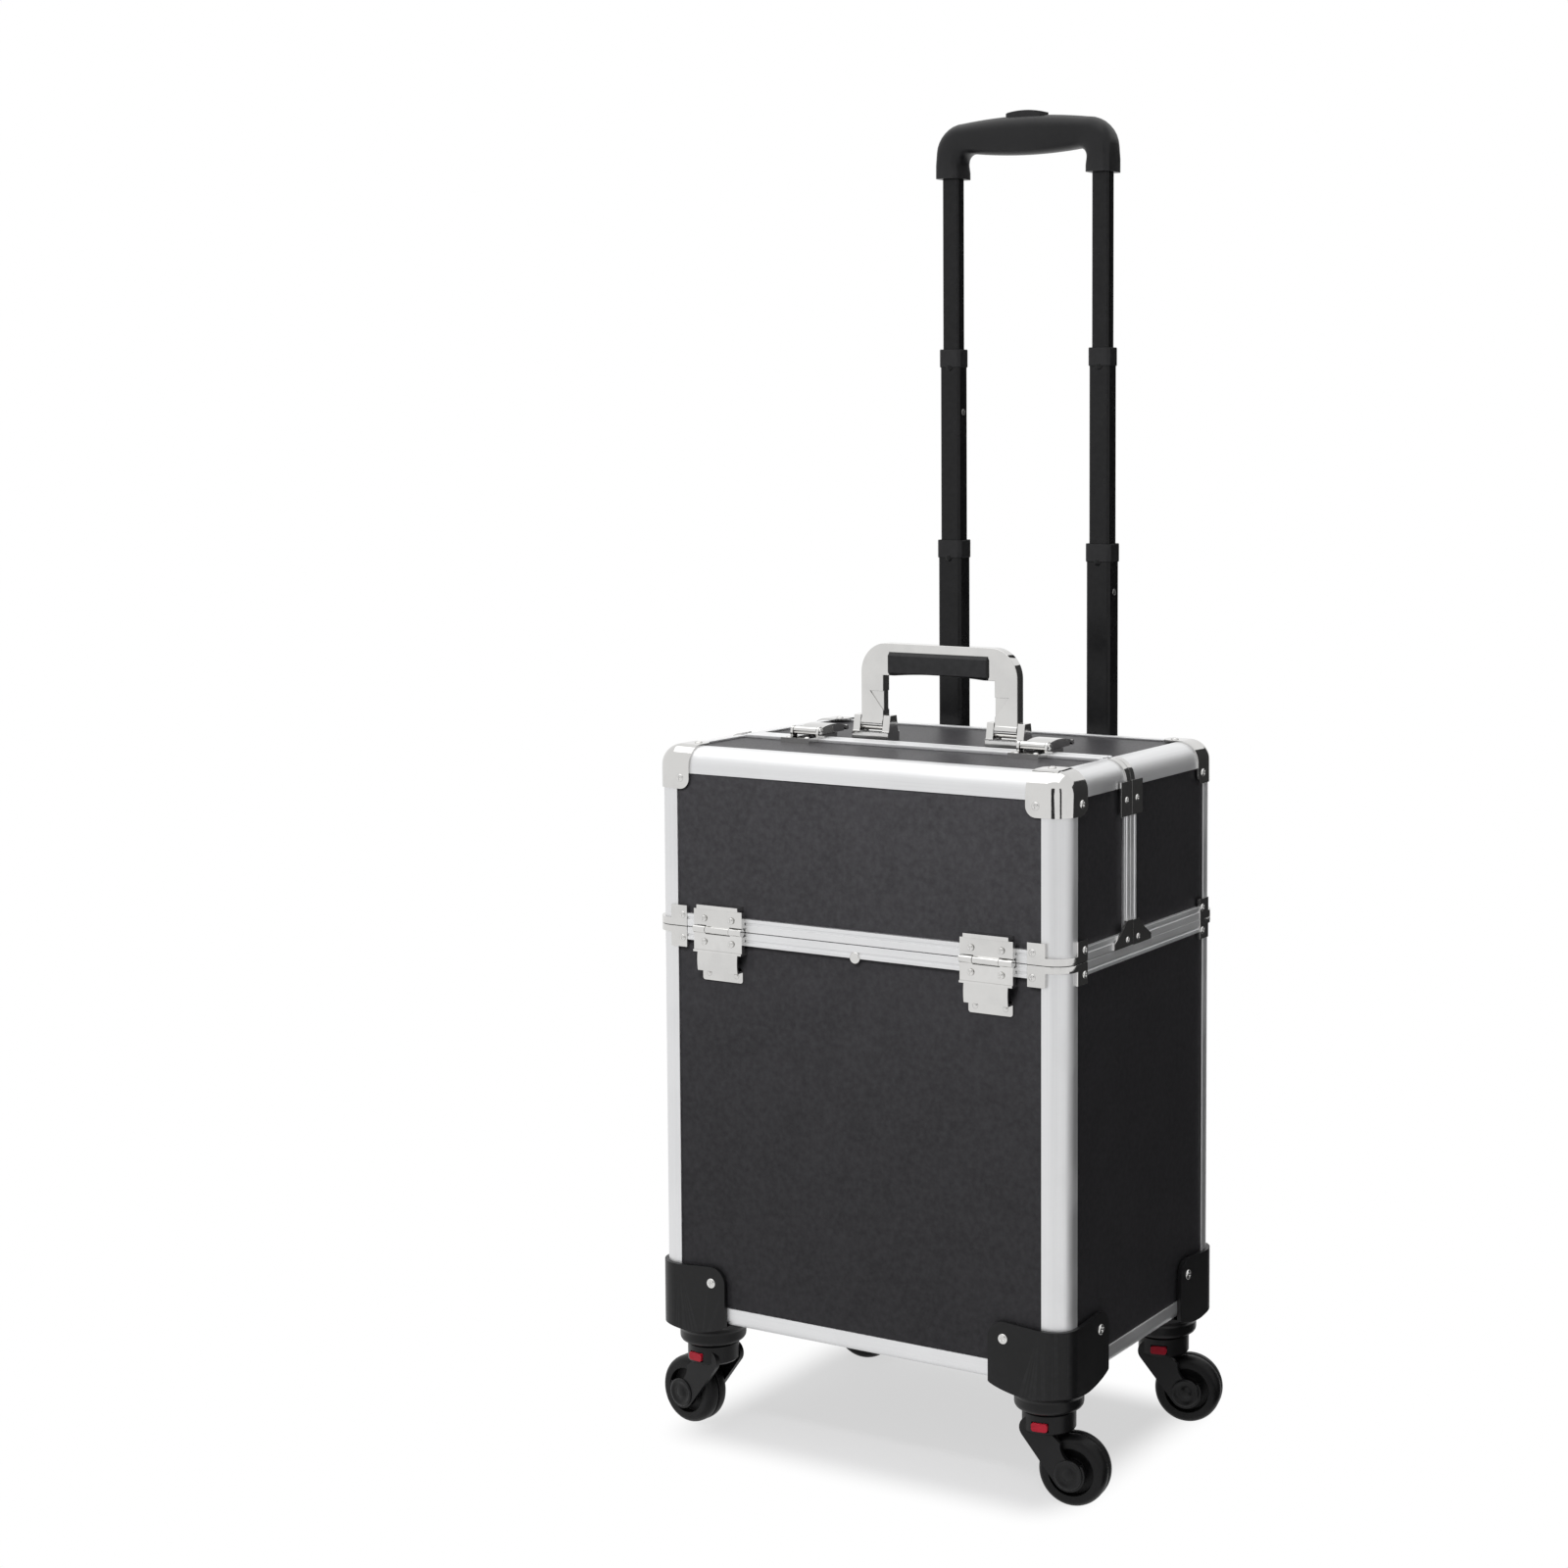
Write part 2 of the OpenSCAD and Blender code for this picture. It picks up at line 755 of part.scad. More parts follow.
module latch_bases() {
  ear = 2;
  inner = latch_width / 2 + swing_gap;
  head = 3.2;
  root = 3.5;
  color(bright_metal) at_latches() {
    box([-inner - ear, lid_rear - latch_reach, latch_base_z],
        [inner + ear, lid_rear - 1, latch_base_z + latch_plate]);
    box([-inner - ear, lid_rear - latch_reach, top_z - profile_wall],
        [inner + ear, lid_rear - trim_width, latch_base_z]);
    both_sides() run_x(inner, inner + ear) link([latch_y, latch_z], head, [latch_y, latch_base_z + root], root);
    translate([-inner - ear, latch_y, latch_z]) rotate([0, 90, 0])
      cylinder(d = latch_pin, h = 2 * (inner + ear));
  }
}

module latch_lever(side) {
  bow = 60;
  plate = 2;
  flange = 1.5;
  rise = sqrt(bow * bow - lever_length * lever_length / 4);
  color(bright_metal) translate([side * latch_spacing / 2, latch_y, latch_z]) difference() {
    union() {
      run_x(-latch_width / 2, latch_width / 2) {
        circle(latch_knuckle);
        intersection() {
          translate([lever_length / 2, -rise]) difference() {
            circle(bow, $fn = 120);
            circle(bow - plate, $fn = 120);
          }
          translate([0, -latch_knuckle]) square([lever_length, bow]);
        }
        translate([lever_length, -plate / 2]) circle(plate * 0.9);
      }
      both_sides() run_x(latch_width / 2 - flange, latch_width / 2) intersection() {
        translate([lever_length / 2, -rise]) circle(bow - plate / 2, $fn = 120);
        translate([latch_knuckle, -latch_knuckle]) square([lever_length * 0.8, bow]);
      }
    }
    translate([-latch_width / 2 - 1, 0, 0]) rotate([0, 90, 0])
      cylinder(r = latch_pin / 2 + pin_clearance, h = latch_width + 2);
  }
}

module latch_lever_left() {
  latch_lever(-1);
}

module latch_lever_right() {
  latch_lever(1);
}

module latch_catches() {
  half = catch_width / 2;
  nose = 4;
  nose_y = hood_front + catch_reach - 10;
  color(bright_metal) at_latches() {
    box([-half, hood_front + 1, latch_base_z], [half, hood_front + catch_reach, latch_base_z + latch_plate]);
    box([-half, hood_front + trim_width, top_z - profile_wall], [half, hood_front + catch_reach, latch_base_z]);
    run_x(2 - half, half - 2) translate([nose_y, latch_base_z]) intersection() {
      circle(nose);
      translate([-nose, 0]) square([2 * nose, nose]);
    }
  }
}

// Carry handle

module handle_brackets() {
  inner = bail_leg / 2 + swing_gap;
  seat_z = top_z - profile_wall;
  foot_depth = 16;
  head_depth = 9;
  color(bright_metal) both_sides() translate([bail_leg_x, bail_y, 0]) {
    run_x(-inner - bracket_ear, inner + bracket_ear)
      translate([-foot_depth / 2, seat_z]) square([foot_depth, bracket_foot]);
    both_sides() run_x(inner, inner + bracket_ear)
      polygon([[-foot_depth / 2, seat_z], [foot_depth / 2, seat_z],
               [head_depth / 2, bail_z + bail_foot], [-head_depth / 2, bail_z + bail_foot]]);
    translate([-inner - bracket_ear, 0, bail_z]) rotate([0, 90, 0])
      cylinder(d = bail_pin, h = 2 * (inner + bracket_ear));
  }
}

module carry_bail() {
  corner = 22;
  opening = bail_width - 2 * bail_leg;
  front = bail_y - bail_thickness / 2;
  pocket = [11.5, 15.5, 1.2];
  pocket_top = bail_z + bail_height * 0.4;
  color(bright_metal) difference() {
    union() {
      run_y(front, front + bail_thickness) difference() {
        intersection() {
          translate([0, bail_z]) rounded_rect(bail_width, 2 * bail_height, corner);
          translate([-bail_width / 2, bail_z]) square([bail_width, bail_height]);
        }
        translate([-opening / 2, bail_z - 1]) square([opening, pad_low - bail_z + 1]);
        translate([-pad_length / 2, pad_low - 1]) square([pad_length, pad_height + 1]);
      }
      for (side = [-1, 1]) translate([side * bail_leg_x - bail_leg / 2, bail_y, bail_z])
        rotate([0, 90, 0]) cylinder(r = bail_foot, h = bail_leg);
    }
    translate([-bail_width / 2 - 1, bail_y, bail_z]) rotate([0, 90, 0])
      cylinder(r = bail_pin / 2 + pin_clearance, h = bail_width + 2);
    both_sides() for (y = [front, front + bail_thickness]) run_y(y - pocket.z, y + pocket.z)
      polygon([[opening / 2 - 1, pocket_top], [opening / 2 + pocket.x, pocket_top],
               [opening / 2 - 1, pocket_top - pocket.y]]);
  }
}

module carry_pad() {
  reach = bail_thickness / 2 + pad_proud;
  arch = 2;
  arch_length = pad_length * 0.9;
  bevel = 2.5;
  bow = arch_length * arch_length / (8 * arch) + arch / 2;
  color(plastic_black) intersection() {
    run_y(bail_y - reach, bail_y + reach) difference() {
      translate([-pad_length / 2, pad_low]) square([pad_length, pad_height]);
      translate([0, pad_low + arch - bow]) circle(bow, $fn = 180);
    }
    run_x(-pad_length / 2, pad_length / 2) translate([bail_y, pad_low])
      polygon([[bevel - reach, 0], [reach - bevel, 0], [reach, bevel], [reach, pad_height - bevel],
               [reach - bevel, pad_height], [bevel - reach, pad_height], [-reach, pad_height - bevel],
               [-reach, bevel]]);
  }
}

// Telescopic handle: level 0 is the innermost tube, level 3 the fixed one

module tube_outline(level, grow = 0) {
  rounded_rect(tube_width + level * tube_step + 2 * grow, tube_depth + level * tube_step + 2 * grow,
               2 + 0.4 * level + grow);
}

// Copies a tube drawing to both tube places
module at_tubes() {
  for (side = [-1, 1]) translate([side * tube_spacing / 2, tube_y, 0]) children();
}

module tube_pair(level, z0, z1) {
  color(tube_black) at_tubes() run_z(z0, z1) difference() {
    tube_outline(level);
    tube_outline(level, -tube_wall);
  }
}

// Collar round the top of a pair of tubes
module collar_pair(level, z1) {
  color(plastic_black) at_tubes() run_z(z1 - collar_height, z1) difference() {
    tube_outline(level, collar_wall);
    tube_outline(level);
  }
}

module fixed_tubes() {
  tube_pair(3, base_z + base_leg, fixed_top);
}

module lower_tubes() {
  tube_pair(2, fixed_top - tube_overlap, lower_top);
}

module lower_collars() {
  collar_pair(2, lower_top);
}

module middle_tubes() {
  tube_pair(1, lower_top - tube_overlap, middle_top);
}

module middle_collars() {
  collar_pair(1, middle_top);
}

module upper_tubes() {
  tube_pair(0, middle_top - tube_overlap, grip_z + grip_seat);
}

// Clamps that hold the fixed tubes off the back panels
module tube_clamps() {
  wall = 3;
  height = 18;
  levels = [base_z + base_leg + 4, seam_z - 2 * band_height - 3 * height, top_z - profile_leg - height - 2];
  color(plastic_black) at_tubes() for (z = levels) run_z(z, z + height) difference() {
    union() {
      tube_outline(3, wall);
      translate([-fixed_width / 2 - wall, face_y - tube_y]) square([fixed_width + 2 * wall, tube_y - face_y]);
    }
    tube_outline(3);
  }
}

// Point on an edge of the hand grip's left half, seen from the front: s runs from 0 to 1 up the leg at x,
// to 2 round the corner and to 3 along the bar, which is crest high and curves by bow in the middle
function grip_edge(s, x, radius, crest, bow) =
  let (bend_x = x + radius, bend_z = crest - bend_x * bend_x / (2 * bow), turn = 270 - 90 * s)
  s < 1 ? [x, grip_z + s * (bend_z - radius - grip_z)] :
  s < 2 ? [bend_x + radius * cos(turn), bend_z - radius + radius * sin(turn)] :
  [bend_x * (3 - s), crest - pow(bend_x * (3 - s), 2) / (2 * bow)];

// One ring of the hand grip: nearly square on the legs, round on the bar
function grip_ring(s, side, count) =
  let (outer = grip_edge(s, -grip_half, grip_shoulder, grip_top, 420),
       inner = grip_edge(s, grip_leg - grip_half, grip_fillet, grip_top - grip_bar, -400),
       middle = (outer + inner) / 2, half = (outer - inner) / 2,
       power = 0.4 + 0.4 * min(max(s - 0.6, 0), 1))
  [for (i = [0 : count - 1])
    let (c = cos(360 * i / count), d = sin(360 * i / count), u = sign(c) * pow(abs(c), power))
    [side * (middle.x + half.x * u),
     tube_y + grip_depth / 2 * sign(d) * pow(abs(d), power),
     middle.y + half.y * u]];

// Hand grip without its sockets, lofted through its rings from the left leg to the right one
module grip_body() {
  count = 28;
  leg = [0, 0.5];
  bend = [for (i = [0 : 8]) 1 + i / 8];
  bar = [for (i = [1 : 7]) 2 + i / 8];
  left = concat(leg, bend, bar, [3]);
  last = len(left) - 1;
  rings = concat([for (s = left) grip_ring(s, 1, count)],
                 [for (i = [1 : last]) grip_ring(left[last - i], -1, count)]);
  points = [for (ring = rings, p = ring) p];
  start = [for (i = [1 : count]) count - i];
  end = [for (i = [0 : count - 1]) len(points) - count + i];
  sides = [for (r = [0 : len(rings) - 2], i = [0 : count - 1])
    let (a = r * count + i, b = r * count + (i + 1) % count)
    each [[a, b, b + count], [a, b + count, a + count]]];
  polyhedron(points, concat([start], sides, [end]));
}

module trolley_grip() {
  color(plastic_black) difference() {
    grip_body();
    at_tubes() run_z(grip_z - 1, grip_z + grip_seat) tube_outline(0);
    translate([0, tube_y, 0]) run_z(grip_top - button_pocket, grip_top + 1)
      rounded_rect(button_length + 2 * button_gap, button_depth + 2 * button_gap, button_depth / 2);
  }
}

// Release button: a low domed lozenge
module grip_button() {
  proud = 3.7;
  height = 12;
  dome = 75;
  color(plastic_black) intersection() {
    translate([0, tube_y, 0]) run_z(grip_top + proud - height, grip_top + proud)
      rounded_rect(button_length, button_depth, button_depth / 2 - 0.2);
    run_y(tube_y - button_depth, tube_y + button_depth)
      translate([0, grip_top + proud - dome]) circle(dome, $fn = 120);
  }
}

// Trays and their arms

// Copies a drawing to the two arm pivots of the given arm, at the given height
module at_arm_pivot(y, z) {
  translate([arm_x, y, z]) rotate([0, -90, 0]) children();
}

module tray_pivots() {
  pin_reach = arm_thickness + 0.6;
  color(bright_metal) both_sides() for (y = [lead_y, follow_y]) at_arm_pivot(y, arm_z) {
    translate([0, 0, arm_x - face_x + panel_thickness])
      cylinder(d = arm_width, h = face_x - panel_thickness - arm_x - swing_gap);
    translate([0, 0, -swing_gap]) cylinder(d = arm_pin, h = pin_reach + swing_gap);
  }
}

// A pair of arms standing at the given depth
module arm_pair(y) {
  color(satin_metal) both_sides() difference() {
    run_x(arm_x - arm_thickness, arm_x) link([y, arm_z], arm_width / 2, [y, arm_z + upper_arm], arm_width / 2);
    for (z = [0, lower_arm, upper_arm]) at_arm_pivot(y, arm_z + z)
      translate([0, 0, -1]) cylinder(r = arm_pin / 2 + pin_clearance, h = arm_thickness + 2);
  }
}

module lead_arms() {
  arm_pair(lead_y);
}

module follow_arms() {
  arm_pair(follow_y);
}

// Open tray with dividers and the four studs that hang in the arms
module tray(z, height) {
  dividers = 3;
  pitch = 2 * tray_half / (dividers + 1);
  color(liner_black) {
    difference() {
      box([-tray_half, tray_front, z], [tray_half, tray_front + tray_depth, z + height]);
      box([tray_wall - tray_half, tray_front + tray_wall, z + tray_wall],
          [tray_half - tray_wall, tray_front + tray_depth - tray_wall, z + height + 1]);
    }
    for (i = [1 : dividers]) translate([i * pitch - tray_half, 0, 0])
      box([-tray_wall / 2, tray_front + tray_wall / 2, z + tray_wall / 2],
          [tray_wall / 2, tray_front + tray_depth - tray_wall / 2, z + height * 0.8]);
    both_sides() for (y = [lead_y, follow_y]) at_arm_pivot(y, z + pivot_rise)
      translate([0, 0, -0.6]) cylinder(d = arm_pin, h = arm_x - tray_half + 0.6 + tray_wall / 2);
  }
}

module lower_tray() {
  tray(lower_tray_z, lower_tray_height);
}

module upper_tray() {
  tray(upper_tray_z, upper_tray_height);
}

// Casters

// Outline of a housing wall along one face: it dips at the post and ends in a round ear
module housing_face() {
  high = base_z + ear_height;
  ear = 12;
  foot = 9;
  low = base_z - 8;
  translate([housing_leg - ear, high - ear]) circle(ear);
  translate([housing_leg - foot, low + foot]) circle(foot);
  polygon([[-housing_wall, socket_z], [housing_leg - foot, socket_z], [housing_leg - foot, low + foot],
           [housing_leg, low + foot], [housing_leg, high - ear], [housing_leg - ear, high],
           [profile_leg, high - ear_dip], [-housing_wall, high - ear_dip]]);
}

// Half section of the housing round its swivel axis: a socket that flares out to the ears
module housing_envelope() {
  waist = socket_diameter / 2;
  spread = norm([housing_leg - caster_inset, caster_inset + housing_wall]) + 1;
  foot = 4;
  flare_low = socket_z + socket_height * 0.4;
  flare_high = base_z + 2;
  steps = 10;
  polygon(concat(
    [[0, socket_z]],
    [for (i = [0 : 4]) let (turn = 90 * i / 4)
      [waist - foot + foot * sin(turn), socket_z + foot - foot * cos(turn)]],
    [for (i = [0 : steps]) let (t = i / steps)
      [waist + (spread - waist) * (1 - cos(180 * t)) / 2, flare_low + (flare_high - flare_low) * t]],
    [[spread, base_z + ear_height + 1], [0, base_z + ear_height + 1]]));
}

module housing(side, end) {
  high = base_z + ear_height;
  pad = [profile_leg + 0.5, housing_leg - 2];
  color(plastic_black) at_corner(side, end) difference() {
    union() {
      difference() {
        intersection() {
          run_z(socket_z, high) translate([-housing_wall, -housing_wall])
            corner_square(housing_leg + housing_wall, profile_radius + housing_wall);
          translate([caster_inset, caster_inset, 0]) rotate_extrude($fn = 96) housing_envelope();
          union() {
            run_y(-housing_wall, profile_wall) housing_face();
            mirror([1, -1, 0]) run_y(-housing_wall, profile_wall) housing_face();
            box([-housing_wall, -housing_wall, socket_z], [profile_radius, profile_radius, high - ear_dip]);
            box([-housing_wall, -housing_wall, socket_z], [housing_leg, housing_leg, base_z]);
          }
        }
        run_z(base_z, high + 1) corner_square(housing_leg + 1, profile_radius);
      }
      for (flip = [0, 1]) mirror([flip, -flip, 0])
        box([pad[0], -0.5, base_z + base_leg + 0.3], [pad[1], profile_wall, high - housing_leg * 0.22]);
    }
    translate([caster_inset, caster_inset, socket_z - 1])
      cylinder(r = stem_diameter / 2 + pin_clearance, h = socket_height - 1);
  }
}

module housing_front_left() {
  housing(-1, -1);
}

module housing_front_right() {
  housing(1, -1);
}

module housing_rear_left() {
  housing(-1, 1);
}

module housing_rear_right() {
  housing(1, 1);
}

// Places a caster drawing, which trails along +X, on its swivel axis
module at_caster(side, end, swivel) {
  translate([side * (half_w - caster_inset), end * (half_d - caster_inset), 0]) rotate(swivel) children();
}

// Outline of a fork arm: from the neck's leading side to a disc round the axle, hollowed over the wheel
module fork_outline() {
  axle = [caster_trail, wheel_radius];
  difference() {
    link([-fork_root, neck_z + neck_height * 0.2], fork_root, axle, arm_disc);
    translate(axle + fork_notch * [0.55, 1.5]) circle(fork_notch);
  }
}

module fork(side, end, swivel) {
  neck_radius = neck_diameter / 2;
  bevel = 1.5;
  color(plastic_black) at_caster(side, end, swivel) difference() {
    union() {
      rotate_extrude() polygon([[0, neck_z], [neck_radius - bevel, neck_z], [neck_radius, neck_z + bevel],
                                [neck_radius, neck_z + neck_height - bevel],
                                [neck_radius - bevel, neck_z + neck_height], [0, neck_z + neck_height]]);
      translate([0, 0, neck_z + neck_height - 1]) cylinder(d = stem_diameter, h = socket_height - 3);
      for (s = [-1, 1]) run_y(s * fork_y - fork_arm / 2, s * fork_y + fork_arm / 2)
        fork_outline();
      translate([caster_trail, fork_y, wheel_radius]) rotate([90, 0, 0])
        cylinder(r = axle_radius, h = 2 * fork_y);
    }
    translate([0, 0, release_z]) cube([release_width + 2 * release_play, neck_diameter + 10,
                                       release_height + 2 * release_play], center = true);
  }
}

module fork_front_left() {
  fork(-1, -1, swivel_front_left);
}

module fork_front_right() {
  fork(1, -1, swivel_front_right);
}

module fork_rear_left() {
  fork(-1, 1, swivel_rear_left);
}

module fork_rear_right() {
  fork(1, 1, swivel_rear_right);
}

// Half section of a wheel: hub, thin web, and a round-shouldered tyre with a groove round its middle
module wheel_section() {
  hub = 8;
  web = 4;
  half = wheel_width / 2;
  hub_half = half + fork_gap / 2;
  rim = wheel_radius * 0.66;
  shoulder = [wheel_radius * 0.18, half * 0.65];
  groove = 2;
  bore = axle_radius + pin_clearance;
  steps = 6;
  edge = [for (i = [0 : steps]) let (turn = 90 * i / steps)
    [wheel_radius - shoulder.x * (1 - sin(turn)), half - shoulder.y * (1 - cos(turn))]];
  lower = concat([[bore, -hub_half], [hub, -hub_half], [hub, -web], [rim, -web], [rim, -half]],
                 [for (p = edge) [p.x, -p.y]], [[wheel_radius, -groove / 2]]);
  upper = [for (i = [len(lower) - 1 : -1 : 0]) [lower[i].x, -lower[i].y]];
  polygon(concat(lower, [[wheel_radius - groove, 0]], upper));
}

module wheel(side, end, swivel) {
  color(plastic_black) at_caster(side, end, swivel) translate([caster_trail, 0, wheel_radius])
    rotate([90, 0, 0]) rotate_extrude() wheel_section();
}

module wheel_front_left() {
  wheel(-1, -1, swivel_front_left);
}

module wheel_front_right() {
  wheel(1, -1, swivel_front_right);
}

module wheel_rear_left() {
  wheel(-1, 1, swivel_rear_left);
}

module wheel_rear_right() {
  wheel(1, 1, swivel_rear_right);
}

// Bar through the neck that frees the caster when pressed from either side
module release(side, end, swivel) {
  reach = neck_diameter / 2 + 0.8;
  color(release_red) at_caster(side, end, swivel) run_y(-reach, reach)
    translate([0, release_z]) rounded_rect(release_width, release_height, 2);
}

module release_front_left() {
  release(-1, -1, swivel_front_left);
}

module release_front_right() {
  release(1, -1, swivel_front_right);
}

module release_rear_left() {
  release(-1, 1, swivel_rear_left);
}

module release_rear_right() {
  release(1, 1, swivel_rear_right);
}

base_panel();
lower_front_panel();
lower_back_panel();
lower_side_panels();
corner_posts();
base_rails();
lower_rim();
lower_seam_brackets();
hood_back_panel();
hood_top_panel();
hood_side_panels();
hood_posts();
hood_rails();
hood_corners();
latch_catches();
handle_brackets();
hinge_bin_leaves();
tray_pivots();
fixed_tubes();
tube_clamps();
housing_front_left();
housing_front_right();
housing_rear_left();
housing_rear_right();
lid_face_panel();
lid_top_panel();
lid_side_panels();
lid_posts();
lid_rails();
lid_corners();
hinge_lid_leaves();
latch_bases();
latch_lever_left();
latch_lever_right();
carry_bail();
carry_pad();
lower_tubes();
lower_collars();
middle_tubes();
middle_collars();
upper_tubes();
trolley_grip();
grip_button();
lead_arms();
follow_arms();
lower_tray();
upper_tray();
fork_front_left();
fork_front_right();
fork_rear_left();
fork_rear_right();
wheel_front_left();
wheel_front_right();
wheel_rear_left();
wheel_rear_right();
release_front_left();
release_front_right();
release_rear_left();
release_rear_right();
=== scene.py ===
# %% [markdown]
# # Rolling makeup case
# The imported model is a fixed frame: every panel, profile, hinge leaf, tube and wheel is already in
# place, in metres. This lesson dresses that frame. It builds a white studio, gives each material its
# finish, rounds the edges, and adds the screws, rivets, studs and hub caps that the real case has.

# %% Load the frame
import json
import math

import bmesh
import bpy
from mathutils import Matrix, Vector


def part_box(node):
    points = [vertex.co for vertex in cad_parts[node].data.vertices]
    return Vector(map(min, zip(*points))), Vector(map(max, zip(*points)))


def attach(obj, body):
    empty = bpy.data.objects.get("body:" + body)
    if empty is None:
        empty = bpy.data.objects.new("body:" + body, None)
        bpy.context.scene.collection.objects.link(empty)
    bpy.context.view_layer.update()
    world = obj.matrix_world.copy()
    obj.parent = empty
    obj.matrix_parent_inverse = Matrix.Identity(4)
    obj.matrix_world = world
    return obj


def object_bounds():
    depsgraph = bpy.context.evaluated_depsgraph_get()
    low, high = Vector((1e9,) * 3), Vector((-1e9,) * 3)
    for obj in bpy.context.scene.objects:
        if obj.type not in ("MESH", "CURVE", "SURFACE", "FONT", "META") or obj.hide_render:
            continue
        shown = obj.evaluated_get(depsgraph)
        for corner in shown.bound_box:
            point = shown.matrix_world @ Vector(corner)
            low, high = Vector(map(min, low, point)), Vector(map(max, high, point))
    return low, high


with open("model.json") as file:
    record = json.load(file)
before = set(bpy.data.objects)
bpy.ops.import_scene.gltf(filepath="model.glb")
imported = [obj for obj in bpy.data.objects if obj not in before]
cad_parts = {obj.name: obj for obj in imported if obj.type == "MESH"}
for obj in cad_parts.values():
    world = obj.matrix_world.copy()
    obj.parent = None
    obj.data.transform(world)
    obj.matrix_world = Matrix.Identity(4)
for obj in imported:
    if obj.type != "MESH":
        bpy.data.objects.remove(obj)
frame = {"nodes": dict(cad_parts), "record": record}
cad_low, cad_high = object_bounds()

MM = 0.001

# %% [markdown]
# ## Camera
# A camera can be aimed by eye, or solved from edges whose size is known. Here the vertical posts, the
# seam band and the base rails gave the answer: 29 degrees round to the right, 4 degrees down, and a
# long lens. The case stands right of the middle of the picture, which the lens shift reproduces
# without turning the camera, so that upright edges stay upright.

# %% Camera
AZIMUTH, PITCH = math.radians(29.05), math.radians(4.25)
STAND = Vector((1.0282, -1.6908, 0.7505))
LENS, SENSOR = 62.0, 36
SHIFT = (-0.1655, -0.1054)
NEAR, FAR = 0.05, 200


def add_to_scene(name, data):
    """A new object for a camera, a lamp or a mesh, linked into the scene."""
    thing = bpy.data.objects.new(name, data)
    bpy.context.scene.collection.objects.link(thing)
    return thing


def aim(thing, direction):
    """Cameras, lamps and boards look along their own -Z; this turns that axis to the direction."""
    thing.rotation_euler = direction.to_track_quat("-Z", "Y").to_euler()


def make_camera():
    data = bpy.data.cameras.new("photo_camera")
    data.sensor_width = SENSOR
    data.lens = LENS
    data.shift_x, data.shift_y = SHIFT
    data.clip_start, data.clip_end = NEAR, FAR
    camera = add_to_scene("photo_camera", data)
    level = Vector((-math.sin(AZIMUTH), math.cos(AZIMUTH), 0))
    aim(camera, level * math.cos(PITCH) - Vector((0, 0, math.sin(PITCH))))
    camera.location = STAND
    bpy.context.scene.camera = camera
    return camera


print("camera", make_camera().location[:])

# %% [markdown]
# ## White studio
# The photograph is a cut-out on white with a soft shadow. A world can be white for the camera and
# for reflections, yet light the object more gently: the Light Path node tells the two apart. The
# floor does the same, so the shadow stays while the horizon melts into the backdrop. A few small
# helpers come first, because every world and material here is built from nodes.

# %% Node helpers
def feed(tree, value, socket):
    """Links a socket to another node's output, or sets it to a plain value."""
    if isinstance(value, bpy.types.NodeSocket):
        tree.links.new(value, socket)
    else:
        socket.default_value = value


def math_node(tree, operation, *values):
    made = tree.nodes.new("ShaderNodeMath")
    made.operation = operation
    for socket, value in zip(made.inputs, values):
        feed(tree, value, socket)
    return made.outputs[0]


def spread(tree, value, low, high, to_low, to_high):
    """Maps low..high to to_low..to_high with soft ends."""
    made = tree.nodes.new("ShaderNodeMapRange")
    made.interpolation_type = "SMOOTHSTEP"
    labels = ("Value", "From Min", "From Max", "To Min", "To Max")
    for label, number in zip(labels, (value, low, high, to_low, to_high)):
        feed(tree, number, made.inputs[label])
    return made.outputs["Result"]


def new_finish(name, **values):
    """A material with its tree and its Principled shader, whose named sockets get plain values."""
    material = bpy.data.materials.new(name)
    material.use_nodes = True
    shader = material.node_tree.nodes["Principled BSDF"]
    for label, value in values.items():
        shader.inputs[label.replace("_", " ")].default_value = value
    return material, material.node_tree, shader


print("node helpers ready")

# %% World
SEEN_WHITE = 1.0
FILL_LIGHT = 0.09


def seen_ray(tree):
    """1 for rays that show the backdrop: from the camera, in a gloss or through glass."""
    path = tree.nodes.new("ShaderNodeLightPath")
    total = path.outputs["Is Camera Ray"]
    for name in ("Is Glossy Ray", "Is Transmission Ray"):
        total = math_node(tree, "MAXIMUM", total, path.outputs[name])
    return total


def make_world():
    world = bpy.data.worlds.new("white_studio")
    world.use_nodes = True
    tree = world.node_tree
    sky = tree.nodes["Background"]
    sky.inputs["Color"].default_value = (1, 1, 1, 1)
    feed(tree, spread(tree, seen_ray(tree), 0, 1, FILL_LIGHT, SEEN_WHITE), sky.inputs["Strength"])
    bpy.context.scene.world = world
    bpy.context.scene.view_settings.view_transform = "Standard"
    return world


print("world", make_world().name)

# %% Floor
FLOOR_SIZE, FLOOR_DROP = 60.0, 0.0002
FLOOR_PAINT = (0.75, 0.745, 0.76, 1)
FLOOR_GLOW = 0.62
SHADOW_INSET, SHADOW_FADE = 0.055, 0.05


def add_board(name, width, depth, material):
    """A flat rectangle about its own middle, for the floor and the flags."""
    x, y = width / 2, depth / 2
    mesh = bpy.data.meshes.new(name)
    mesh.from_pydata([(-x, -y, 0), (x, -y, 0), (x, y, 0), (-x, y, 0)], [], [(0, 1, 2, 3)])
    mesh.materials.append(material)
    return add_to_scene(name, mesh)


def vector_step(tree, operation, vector, amount=(0, 0, 0)):
    made = tree.nodes.new("ShaderNodeVectorMath")
    made.operation = operation
    feed(tree, vector, made.inputs[0])
    feed(tree, amount, made.inputs[1])
    return made.outputs


